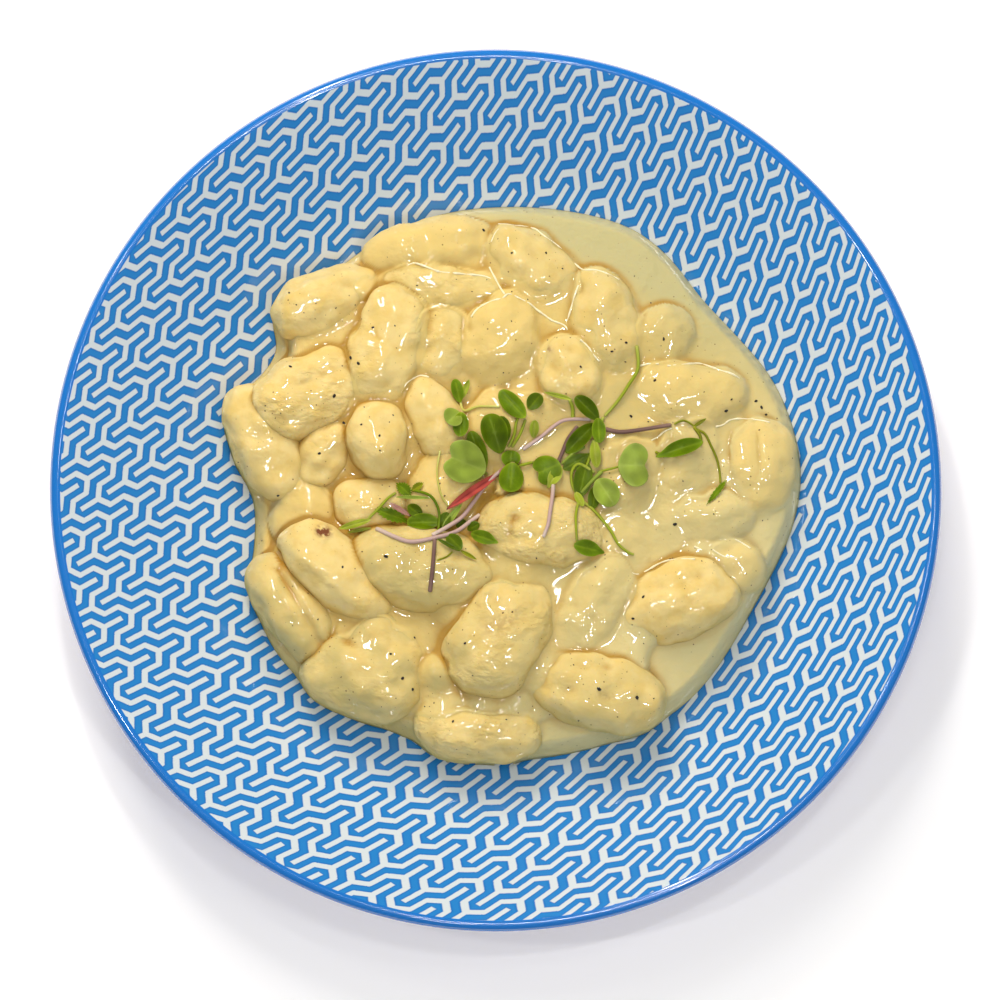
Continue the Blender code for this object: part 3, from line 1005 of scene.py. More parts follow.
TRAITS = {
    1: Traits(Coat.BARE, 0.5, veil=0.1, shift=(0.7, 1.8)),
    2: Traits(Coat.THICK, 0.1, veil=0.2),
    3: Traits(Coat.THIN, 0.1, veil=0.35, shift=(-1.0, 0.0)),
    4: Traits(Coat.THIN, 0.35, veil=0.35, shift=(-1.4, 0.5), lift=1.5),
    5: Traits(Coat.THICK, 0.1, veil=0.7, shift=(-1.4, 0.0), lift=3.6),
    6: Traits(Coat.THIN, 1.0, veil=0.3, stretch=(1.2, 1.15)),
    7: Traits(Coat.THIN, 0.9, veil=0.2, shift=(-0.8, 0.0), stretch=(1.35, 1.1)),
    8: Traits(Coat.THIN, 0.7, veil=0.15, shift=(1.6, 0.0), stretch=(1.08, 1.15),
              bulges=((150, -1.5, 25),)),
    9: Traits(Coat.THICK, 1.0, veil=0.4),
    10: Traits(Coat.THIN, 0.3, (Mark((-5.4, 5.0), (-4.9, 5.0), 0.0, 0.9, 0.9),), 0.2),
    12: Traits(Coat.BARE, 1.0, veil=0.0, shift=(1.5, 0.0), stretch=(1.08, 1.0)),
    13: Traits(Coat.BARE, 0.1, veil=0.0, shift=(4.0, 1.5)),
    14: Traits(Coat.BARE, 0.6, veil=0.1, shift=(1.2, 0.4), stretch=(0.82, 1.08),
               bulges=((60, 1.6, 20),)),
    15: Traits(Coat.BARE, 0.1, veil=0.05, stretch=(0.92, 0.94)),
    16: Traits(Coat.BARE, 0.1, veil=0.1, shift=(2.0, -2.2), stretch=(1.0, 0.95)),
    18: Traits(Coat.THICK, 0.3, veil=0.5),
    19: Traits(Coat.THICK, 0.1, veil=0.5, shift=(-1.5, 0.0), lift=-0.8),
    20: Traits(Coat.BARE, 0.2, veil=0.2, shift=(1.0, 0.0), lift=1.2),
    21: Traits(Coat.THICK, 0.7, veil=0.5),
    22: Traits(Coat.THICK, 0.7, (Mark((-6, 11), (-5, -4), 0.9, 1.3), Mark((1, 11), (2, -3), 0.8, 1.2),
                                 Mark((7, 9), (7, -2), 0.6, 1.2)), 0.3, (-1.0, 0.0), -1.6, (1.2, 1.0)),
    23: Traits(Coat.THICK, 0.2, veil=0.9),
    24: Traits(Coat.THICK, 0.2, veil=0.8, lift=2.6),
    25: Traits(Coat.THICK, 0.1, veil=0.8),
    26: Traits(Coat.BARE, 0.5, (Mark((-12, 7), (7, -9), -0.9, 2.2),
                                Mark((-3.9, 10.0), (-2.3, 9.9), 0.5, 1.0, 2.4)), 0.05, (2.6, 0.0)),
    27: Traits(Coat.BARE, 0.1, (Mark((-4, 9), (7, -10), 1.6, 1.2),), 0.75, (2.2, 0.8)),
    28: Traits(Coat.BARE, 0.5, veil=1.0, shift=(1.9, 0.9), stretch=(1.1, 0.96),
               bulges=((355, 2.0, 12),)),
    29: Traits(Coat.BARE, 0.7, veil=0.8, shift=(1.0, 2.2), stretch=(1.0, 1.25),
               bulges=((142, -2.8, 20), (195, 1.2, 14), (340, -1.0, 15))),
    30: Traits(Coat.BARE, 0.8, (Mark((-2, 1), (2, 3), 0.9, 3.0, 0.35),), 0.4, stretch=(1.04, 1.0)),
    31: Traits(Coat.BARE, 1.0, (Mark((-8, -1), (-7, 3), 0.9, 1.2, 0.2),), 0.5),
    32: Traits(Coat.THICK, 0.1, veil=0.8, lift=3.4, bulges=((62, 2.4, 22), (330, -1.2, 30))),
    33: Traits(Coat.BARE, 0.5, (Mark((-3, 2), (5, 5), 0.5, 2.0),), 0.0, (0.0, 0.8), stretch=(1.0, 0.95)),
    34: Traits(Coat.BARE, 0.05, (Mark((2, -2), (4, -3), 0.35, 1.2, 0.25),), 0.45, (-1.7, 2.4),
               stretch=(0.98, 0.95)),
    35: Traits(Coat.THIN, 1.0, veil=0.15, shift=(0.0, 1.6)),
    36: Traits(Coat.THICK, 1.0, veil=0.4, shift=(-2.0, 0.5), lift=1.2),
    37: Traits(Coat.THICK, 0.1, veil=0.8, lift=1.8),
}


# ------------------------------------------------------------------------------ heap relief


def smeared(heights: np.ndarray, cells: int) -> np.ndarray:
    """Soften a grid of heights.

    Args:
        heights: The grid.
        cells: How many cells each way are taken into the mean.

    Returns:
        The softened grid.
    """
    kernel = np.ones(2 * cells + 1) / (2 * cells + 1)
    padded = np.pad(heights, 2 * cells, mode="edge")
    for _ in range(2):
        for axis in (0, 1):
            padded = np.apply_along_axis(np.convolve, axis, padded, kernel, "same")
    return padded[2 * cells:-2 * cells, 2 * cells:-2 * cells]


def widened(heights: np.ndarray, cells: int) -> np.ndarray:
    """Widen the high places of a grid of heights.

    Args:
        heights: The grid.
        cells: How far a height reaches, in cells.

    Returns:
        The highest value within that reach of each cell.
    """
    padded = np.pad(heights, cells, mode="edge")
    rows, columns = heights.shape
    high = heights.copy()
    for down in range(-cells, cells + 1):
        for across in range(-cells, cells + 1):
            if hypot(down, across) <= cells:
                top, left = cells + down, cells + across
                np.maximum(high, padded[top:top + rows, left:left + columns], out=high)
    return high


@dataclass
class Relief:
    """A map of the heap's top from above, on an even grid."""

    pieces: list[bpy.types.Object]
    reach: float = 90.0 * MM
    cells: int = 300
    above: float = 0.1

    def __post_init__(self) -> None:
        """Read the heap's heights."""
        body = bmesh.new()
        for piece in self.pieces:
            body.from_mesh(piece.data)
        self.tree = BVHTree.FromBMesh(body)
        body.free()
        steps = np.linspace(-self.reach, self.reach, self.cells)
        self.tops = np.array([[self.height(x, y) for x in steps] for y in steps])
        self.step = steps[1] - steps[0]

    def height(self, x: float, y: float) -> float:
        """Height of the top of the heap at a point, 0 beside it."""
        hit = self.tree.ray_cast(Vector((x, y, self.above)), DOWN)[0]
        return 0.0 if hit is None else hit.z

    def softened(self, width: float) -> np.ndarray:
        """The tops, softened over a width in metres."""
        return smeared(self.tops, max(round(width / self.step / 2), 1))

    def bridged(self, width: float) -> np.ndarray:
        """The tops with every gap narrower than a width filled up to its lower side."""
        cells = round(width / self.step / 2)
        return -widened(-widened(self.tops, cells), cells)

    def read(self, grid: np.ndarray, spots: np.ndarray) -> np.ndarray:
        """Look points up in a grid of values.

        Args:
            grid: The grid.
            spots: The points, one row each.

        Returns:
            The grid's value at each point.
        """
        place = (spots[:, :2] + self.reach) / (2 * self.reach) * (self.cells - 1)
        place = np.clip(place, 0, self.cells - 1.001)
        low = place.astype(int)
        u, v = (place - low).T
        x, y = low.T
        near = grid[y, x] * (1 - u) + grid[y, x + 1] * u
        far = grid[y + 1, x] * (1 - u) + grid[y + 1, x + 1] * u
        return near * (1 - v) + far * v


@dataclass(frozen=True)
class CreaseShade:
    """Painted shade: a darker amber deep in the creases and hollows between the gnocchi."""

    narrow: float = 1.9 * MM
    wide: float = 10.0 * MM
    lit_from: tuple[float, float] = (0.6, -0.8)
    depth: float = 0.45 * MM
    shallow: float = 6.0 * MM
    deep_start: float = 1.8 * MM
    deep: float = 3.0 * MM
    wall_start: float = 58.0 * MM
    wall_width: float = 6.0 * MM

    def towards_light(self, heights: np.ndarray) -> np.ndarray:
        """Tell how far the slopes of a grid of heights face the light.

        Args:
            heights: The grid.

        Returns:
            1 where a slope faces it, down to 0.15 where it faces away.
        """
        rise_y, rise_x = np.gradient(heights)
        run = self.lit_from[0] * rise_x + self.lit_from[1] * rise_y
        facing = run / np.maximum(np.hypot(rise_x, rise_y), 1e-9)
        return smeared(np.clip(0.45 + 0.65 * facing, 0.15, 1.0), 1)

    def paint_on(self, heap: list[bpy.types.Object], relief: Relief) -> None:
        """Paint every piece of the heap with painted shade by how deep in a crease its points lie.

        Args:
            heap: The dumplings and then the sauce, whose steep outer wall stays plain.
            relief: The heap's map.
        """
        narrow, wide = relief.softened(self.narrow), relief.softened(self.wide)
        facing = self.towards_light(narrow)
        for piece in heap:
            spots = spots_of(piece)
            crease = np.clip((relief.read(narrow, spots) - spots[:, 2]) / self.depth - 0.1, 0, 1)
            crease *= relief.read(facing, spots)
            sunk = relief.read(wide, spots) - spots[:, 2]
            hollow = 0.35 * np.clip(sunk / self.shallow, 0, 1)
            hollow += np.clip((sunk - self.deep_start) / self.deep, 0, 1)
            far = np.hypot(spots[:, 0], spots[:, 1]) - self.wall_start
            outer = np.clip(far / self.wall_width, 0.0, 1.0) * (piece == heap[-1])
            shown = 1.0 - outer * (1.0 - levels_of(piece))
            # Painted shade: darker deep in creases and hollows, and stronger where the crease slopes face the
            # light.
            paint(piece, "crease_shade", np.clip(1.10 * crease + 0.75 * hollow, 0.0, 1.0) * shown)


# ------------------------------------------------------------------------------ sauce


@dataclass
class CreamSauce:
    """The pool: a sheet that rises over the gnocchi and thins out on the bowl's floor."""

    bowl: CoupeBowl
    gnocchi: list[Gnocco]
    heap: Relief
    radius: float = 75.5 * MM
    bulge: float = 5.4 * MM
    bulge_heading: float = radians(53.0)
    lobes: tuple[tuple[int, float, float], ...] = (
        (5, 1.4 * MM, radians(8.0)), (7, 1.1 * MM, radians(7.0)),
    )
    low_level: float = 18.0 * MM
    high_level: float = 27.0 * MM
    high_heading: float = radians(5.0)
    shoulder: float = 16.5 * MM
    high_shoulder: float = 20.0 * MM
    lip: float = 0.45 * MM
    dents: tuple[tuple[float, float, float], ...] = (
        (180.0, 5.0 * MM, 14.0), (149.0, 5.0 * MM, 9.0), (-8.0, -2.1 * MM, 24.0),
        (25.0, -1.5 * MM, 10.0), (62.0, -0.8 * MM, 8.0), (45.0, 0.8 * MM, 6.0),
    )
    creep: float = -0.3 * MM
    fillet: float = 1.0 * MM
    bridge: float = 15.0 * MM
    thin_heading: float = radians(125.0)
    mounds: tuple[tuple[float, float, float, float], ...] = (
        (-16.0, -49.0, 28.5, 7.0), (-14.5, -59.0, 25.5, 6.5), (-3.5, -57.0, 27.0, 7.0),
        (-36.0, 55.0, 26.5, 6.0), (-29.0, -38.0, 25.5, 6.0), (6.0, -56.0, 26.5, 5.5),
    )
    sink: float = 1.6 * MM
    deep_sink: float = 4.2 * MM
    edge: float = 3.8 * MM
    least_depth: float = 0.8 * MM
    most_depth: float = 30.0 * MM
    film_depth: float = 1.8 * MM
    cover: float = 1.5 * MM
    ridge_lift: float = 0.3 * MM
    ridge_width: float = 0.4 * MM
    ripple: float = 0.35 * MM
    ripple_size: float = 14.0 * MM
    smoothing: float = 2.2
    smoothing_reach: int = 6
    cells: int = 288
    headings: int = 360
    shore: np.ndarray = field(init=False)
    fill: np.ndarray = field(init=False)

    def pool_edge(self, heading: float) -> float:
        """Measure from the axis to the pool's own edge.

        Args:
            heading: The direction.

        Returns:
            The distance.
        """
        waves = sum(size * cos(count * (heading - start)) for count, size, start in self.lobes)
        for middle, depth, width in self.dents:
            waves -= depth * swell((heading - radians(middle) + pi) % (2 * pi) - pi, radians(width))
        return self.radius + self.bulge * cos(heading - self.bulge_heading) + waves

    def outline(self) -> np.ndarray:
        """Measure from the axis to the sauce's edge, at even headings all round.

        Sauce creeps a little past the foot of every gnocco that reaches over the pool's edge.

        Returns:
            The distances.
        """
        step = 2 * pi / self.headings
        reach = np.array([self.pool_edge(k * step) for k in range(self.headings)])
        for one in self.gnocchi:
            for spot in one.rim_spots:
                k = round(atan2(spot[1], spot[0]) / step) % self.headings
                reach[k] = max(reach[k], hypot(spot[0], spot[1]) + self.creep)
        ends = self.smoothing_reach
        weights = np.array([swell(k, self.smoothing) for k in range(-ends, ends + 1)])
        padded = np.concatenate([reach[-ends:], reach, reach[:ends]])
        return np.convolve(padded, weights / weights.sum(), "valid")

    def edge_at(self, heading: float) -> float:
        """Measure from the axis to the sauce's edge.

        Args:
            heading: The direction.

        Returns:
            The distance.
        """
        place = (heading / (2 * pi) * self.headings) % self.headings
        k = int(place)
        share = place - k
        return self.shore[k] * (1 - share) + self.shore[(k + 1) % self.headings] * share

    def still_level(self, x: float, y: float) -> float:
        """Height of the sauce's surface away from the gnocchi.

        Args:
            x: Place along X.
            y: Place along Y.

        Returns:
            The height.
        """
        heading = atan2(y, x)
        share = hypot(x, y) / self.edge_at(heading)
        ripple = self.ripple * noise.noise(Vector((x, y, 0.0)) / self.ripple_size)
        fuller = sqrt(0.5 + 0.5 * cos(heading - self.high_heading))
        level = self.low_level + (self.high_level - self.low_level) * fuller
        brink = self.shoulder + (self.high_shoulder - self.shoulder) * fuller
        pool = level + (brink - level) * share ** 4 + ripple
        sunk = self.sink + (self.deep_sink - self.sink) * (1 - fuller) ** 0.7
        for place_x, place_y, top, width in self.mounds:
            near = swell(hypot(x / MM - place_x, y / MM - place_y), width)
            pool = max(pool, pool + (top * MM - pool) * near)
        clinging = self.heap.read(self.fill, np.array([[x, y]]))[0] - sunk
        return max(pool, clinging)

    def height(self, x: float, y: float) -> tuple[float, float, float]:
        """Height of the sheet, how thin it is and how much dough shows through.

        Args:
            x: Place along X.
            y: Place along Y.

        Returns:
            The height, 1 where the film is thinnest down to 0 where it is thick, and 1 where a
            gnocco lies just below it.
        """
        away = self.edge_at(atan2(y, x)) - hypot(x, y)
        floor = self.bowl.floor(hypot(x, y))
        share = min(max(away / self.edge, 0.0), 1.0)
        rise = sin(share * pi / 2) ** 0.8
        pool = floor + max(self.still_level(x, y) - floor, self.least_depth) * rise
        levels = [pool]
        ridge, over = 0.0, 0.0
        for one in self.gnocchi:
            top = one.top(x, y)
            if top is None:
                continue
            levels.append(top)
            clear = top - pool
            beyond = (y - one.middle.y) / max(hypot(x - one.middle.x, y - one.middle.y), MM)
            far_side = min(max(beyond + 0.2, 0.0), 1.0)
            ridge = max(ridge, swell(clear - self.ridge_lift, self.ridge_width) * far_side)
            over = max(over, min(max(clear / self.cover, 0.0), 1.0) * (1.0 - one.traits.veil))
        peak = max(levels)
        total = sum(exp((level - peak) / self.fillet) for level in levels)
        high = peak + self.fillet * np.log(total) + self.lip * ridge
        film = max(1 - (high - floor) / self.film_depth, 0.0)
        return min(high, floor + self.most_depth), film, over

    def stain(self, piece: bpy.types.Object, films: np.ndarray, overs: np.ndarray) -> None:
        """Paint the sheet for its material: duller and greener towards two sides, and a lighter milky colour
        towards the near right, which is painted light on a slope that the lamps leave in shade.

        Args:
            piece: The sheet.
            films: How thin it is at each point.
            overs: How much dough shows through at each point.
        """
        spots = spots_of(piece)
        right, far = spots[:, 0] / MM, spots[:, 1] / MM
        paint(piece, "veil", np.clip((right - 0.5 * far) / 45.0 + 0.45, 0.0, 1.0))
        paint(piece, "khaki", np.clip((0.45 * right + 0.89 * far - 54.0) / 16.0, 0.0, 1.0))
        # Painted light: the lighter milky colour on the near right slope, where the lamps leave it in shade.
        paint(piece, "painted_light", 0.70 * np.clip((0.75 * right - 0.66 * far - 18.0) / 44.0, 0.0, 1.0))
        headings = np.arctan2(far, right) - self.thin_heading
        paint(piece, "film", films * np.clip(np.cos(headings), 0.0, 1.0) ** 6)
        paint(piece, "over", overs)
        paint(piece, "crumple", np.full(len(films), 0.05))
        paint(piece, "level", levels_of(piece))

    def build(self, material: bpy.types.Material) -> bpy.types.Object:
        """Make the sheet, close it below along the bowl's floor and paint it.

        Args:
            material: The sauce.

        Returns:
            The piece.
        """
        self.shore = self.outline()
        self.fill = smeared(self.heap.bridged(self.bridge), 3)
        body = bmesh.new()
        bmesh.ops.create_grid(body, x_segments=self.cells, y_segments=self.cells, size=1.0)
        films, overs = [], []
        for vert in body.verts:
            u, v = vert.co.xy
            disc = Vector((u * sqrt(1 - v * v / 2), v * sqrt(1 - u * u / 2)))
            heading = atan2(disc.y, disc.x)
            reach = disc.length * self.edge_at(heading)
            x, y = reach * cos(heading), reach * sin(heading)
            z, film, over = self.height(x, y)
            vert.co = (x, y, z)
            films.append(film)
            overs.append(over)
        ring = [e for e in body.edges if e.is_boundary]
        for share in (0.985, 0.8, 0.6, 0.35):
            grown = bmesh.ops.extrude_edge_only(body, edges=ring)["geom"]
            ring = [e for e in grown if isinstance(e, bmesh.types.BMEdge) and e.is_boundary]
            for vert in {v for e in ring for v in e.verts}:
                heading = atan2(vert.co.y, vert.co.x)
                reach = share * self.edge_at(heading)
                vert.co = (reach * cos(heading), reach * sin(heading), self.bowl.floor(reach) - 0.1 * MM)
        bmesh.ops.contextual_create(body, geom=ring)
        bmesh.ops.recalc_face_normals(body, faces=body.faces)
        below = [0.0] * (len(body.verts) - len(films))
        piece = add_piece("sauce_pool", body, material)
        self.stain(piece, np.array(films + below), np.array(overs + below))
        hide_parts("sauce")
        return piece


@dataclass
class Menisci:
    """Fine raised lines of sauce, where it climbs the far sides of the gnocchi, in a pale cream that is a painted
    highlight.
    """

    ground: Relief
    routes: tuple[Route, ...]
    radius: float = 0.30 * MM
    per_bend: int = 6

    def build(self) -> bpy.types.Object:
        """Make all lines as one piece.  They dip below the sauce here and there.

        Returns:
            The piece.
        """
        body = bmesh.new()
        for route in self.routes:
            path = laid_out(route, self.per_bend)
            rests = [self.ground.height(x, y) for x, y in path]
            spine, girths = [], []
            for k, (x, y) in enumerate(path):
                near = rests[max(k - 2, 0):k + 3]
                wander = noise.noise(Vector((x, y, 0.0)) / (2.4 * MM))
                beads = noise.noise(Vector((x, y, 5 * MM)) / (1.0 * MM))
                lift = (0.35 * wander + 0.12 * beads - 0.04) * MM
                spine.append(Vector((x, y, sum(near) / len(near) + lift)))
                girths.append(self.radius * (0.85 + 0.5 * wander + 0.4 * beads))
            sweep(body, spine, girths)
        bmesh.ops.recalc_face_normals(body, faces=body.faces)
        # The lines are real ridges of sauce; their pale cream colour is a painted highlight on top of the lamps'
        # glints.
        graph = Graph("raised_sauce_painted_highlight", Roughness=0.2, Base_Color=(0.86, 0.74, 0.45),
                      Coat_Weight=1.0, Coat_Roughness=0.05)
        piece = add_piece("sauce_lines", body, graph.material)
        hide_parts("sauce")
        return piece


LINES = (
    ((1.0, 74.0), (4.0, 73.4), (8.0, 73.4), (11.0, 72.4), (13.5, 70.2), (16.0, 68.6), (18.0, 67.0)),
    ((21.5, 62.8), (24.0, 60.8), (27.0, 60.6), (30.0, 59.6), (33.5, 58.0)),
    ((-23.5, 62.0), (-21.5, 62.4), (-18.0, 61.0), (-15.5, 60.0), (-12.5, 59.6), (-7.0, 59.4),
     (-3.0, 59.0), (-1.0, 58.2)),
    ((-6.5, 47.5), (-4.5, 50.0), (-1.0, 51.8), (2.0, 52.6), (3.5, 53.8), (6.0, 53.0), (9.5, 51.2),
     (11.5, 49.6), (13.5, 48.2), (15.5, 46.8), (18.5, 45.6), (19.5, 44.2)),
    ((19.5, 46.8), (20.5, 50.0), (21.5, 53.5), (22.5, 56.2)),
    ((23.0, 41.0), (25.0, 39.2), (26.5, 37.0), (28.0, 35.4)),
    ((38.5, 34.2), (41.0, 34.8), (44.0, 34.8)),
    ((46.5, 34.2), (50.5, 34.6), (53.5, 35.2), (56.0, 35.2), (58.5, 34.2), (61.0, 33.2),
     (63.5, 32.4), (66.0, 31.2)),
    ((59.5, 17.8), (61.5, 18.4), (63.5, 19.8), (66.5, 20.2), (70.0, 20.0), (74.0, 19.2)),
    ((36.5, -22.4), (38.5, -22.6), (41.0, -21.4), (44.0, -19.6), (46.5, -18.8), (49.5, -18.8), (53.5, -18.8)),
    ((53.5, -15.0), (55.5, -16.0)),
    ((58.5, -16.0), (61.5, -17.8), (65.0, -18.4)),
    ((64.5, -13.0), (66.5, -14.0), (68.5, -15.4)),
    ((-25.5, 26.8), (-24.0, 29.2), (-22.0, 30.8), (-20.0, 31.5), (-18.0, 31.0)),
    ((-1.0, 68.5), (0.0, 70.8), (1.0, 72.0)),
    ((-1.5, 61.6), (-0.5, 59.4), (1.5, 55.5), (2.5, 53.8)),
    ((42.0, 13.8), (44.0, 15.0), (45.5, 16.2), (47.5, 17.0)),
)


# ------------------------------------------------------------------------------ pepper


@dataclass
class Pepper:
    """Coarse black pepper: the larger grains where they lie, and fine grains strewn at random."""

    ground: Relief
    grains: tuple[tuple[float, float, float], ...]
    strewn: int = 110
    reach: float = 74.0 * MM
    lowest: float = 14.0 * MM
    seed: int = 11

    def build(self) -> bpy.types.Object:
        """Make all grains as one piece, each half sunk in the sauce.

        Returns:
            The piece.
        """
        chance = Random(self.seed)
        fine = []
        for _ in range(self.strewn):
            far, heading = sqrt(chance.random()) * self.reach, chance.uniform(-pi, pi)
            fine.append((far * cos(heading) / MM, far * sin(heading) / MM, chance.uniform(0.3, 0.6)))
        body = bmesh.new()
        for x, y, size in self.grains + tuple(fine):
            spot = Vector((x * MM, y * MM, self.ground.height(x * MM, y * MM)))
            if spot.z < self.lowest:
                continue
            grain = bmesh.ops.create_icosphere(body, subdivisions=1, radius=size * MM / 2)["verts"]
            turn = Matrix.Rotation(chance.uniform(-pi, pi), 3, "Z")
            turn = turn @ Matrix.Rotation(chance.uniform(-1, 1), 3, "X")
            for vert in grain:
                chipped = vert.co * chance.uniform(0.75, 1.15)
                vert.co = spot + turn @ Vector((chipped.x * 1.15, chipped.y * 0.8, chipped.z * 0.65))
        graph = Graph("black_pepper", Roughness=0.55, Base_Color=(0.016, 0.010, 0.007))
        piece = add_piece("pepper", body, graph.material)
        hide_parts("sauce")
        return piece


GRAINS = (
    (-29.6, -18.7, 1.3), (-41.3, -21.4, 0.9), (-63.0, -34.3, 1.1), (-58.6, -0.7, 1.0), (-28.3, -44.5, 0.9),
    (-25.2, -51.0, 1.2), (-22.5, -53.9, 1.0), (-21.9, -39.7, 0.8), (-11.1, -73.2, 1.0), (-11.6, -62.6, 0.9),
    (-8.4, -42.4, 0.9), (48.3, -9.0, 1.3), (27.5, -54.6, 1.3), (37.7, -56.6, 1.3), (39.6, -29.2, 1.0),
    (36.9, -34.9, 1.0), (62.2, 22.0, 1.3), (63.7, 25.0, 0.8), (45.5, 41.5, 1.0), (35.3, 40.3, 0.9),
    (31.4, 37.8, 0.9), (43.0, 30.1, 1.0), (36.6, 20.5, 1.1), (23.0, 33.5, 0.8), (13.8, 65.1, 0.8),
    (4.5, 64.9, 0.8), (-3.1, 71.9, 1.0), (-55.3, 33.5, 1.0), (-43.5, 25.5, 1.2), (-33.0, 44.2, 0.9),
    (-37.0, 34.3, 1.1), (-39.0, 36.1, 1.2), (-31.3, 14.2, 0.9), (-36.2, 17.4, 0.8), (-40.9, 18.6, 1.0),
    (-47.5, 10.2, 1.0), (-55.6, 54.0, 0.8), (70.5, 25.3, 1.0), (72.0, 23.6, 1.1), (73.2, 21.6, 0.9),
)


# ------------------------------------------------------------------------------ microgreens


class Hue(Enum):
    """Two colours of a stem or blade: its body, and its ends or edge."""

    LILAC = ((0.46, 0.30, 0.26), (0.60, 0.47, 0.38))
    PINK = ((0.42, 0.17, 0.13), (0.50, 0.34, 0.26))
    PURPLE = ((0.15, 0.080, 0.065), (0.25, 0.15, 0.11))
    STRAW = ((0.50, 0.45, 0.09), (0.58, 0.56, 0.18))
    SPRING = ((0.25, 0.29, 0.015), (0.38, 0.39, 0.07))
    OLIVE = ((0.17, 0.18, 0.004), (0.32, 0.30, 0.02))
    LEAF = ((0.094, 0.148, 0.001), (0.21, 0.28, 0.010))
    DARK = ((0.064, 0.098, 0.001), (0.13, 0.18, 0.004))
    PALE = ((0.215, 0.270, 0.030), (0.30, 0.36, 0.060))
    BURGUNDY = ((0.38, 0.060, 0.045), (0.14, 0.018, 0.016))


class Outline(Enum):
    """A blade's outline: notch at its tip, point at its tip, and teeth round it."""

    OVAL = (0.0, 0.0, 0)
    HEART = (0.44, 0.0, 0)
    POINTED = (0.0, 0.38, 0)
    TOOTHED = (0.0, 0.22, 9)
    SLIVER = (0.0, 0.15, 0)


@dataclass(frozen=True)
class Stem:
    """A stem along a route in mm, with its thickness and how high it arches over the heap."""

    route: Route
    hue: Hue = Hue.SPRING
    thick: float = 0.9
    arch: float = 0.0


@dataclass(frozen=True)
class Blade:
    """A leaf blade in mm: where its stalk ends, its tip, its width and how high it lies."""

    base: tuple[float, float]
    tip: tuple[float, float]
    width: float
    hue: Hue = Hue.LEAF
    outline: Outline = Outline.OVAL
    lift: float = 1.4
    cup: float = 0.25


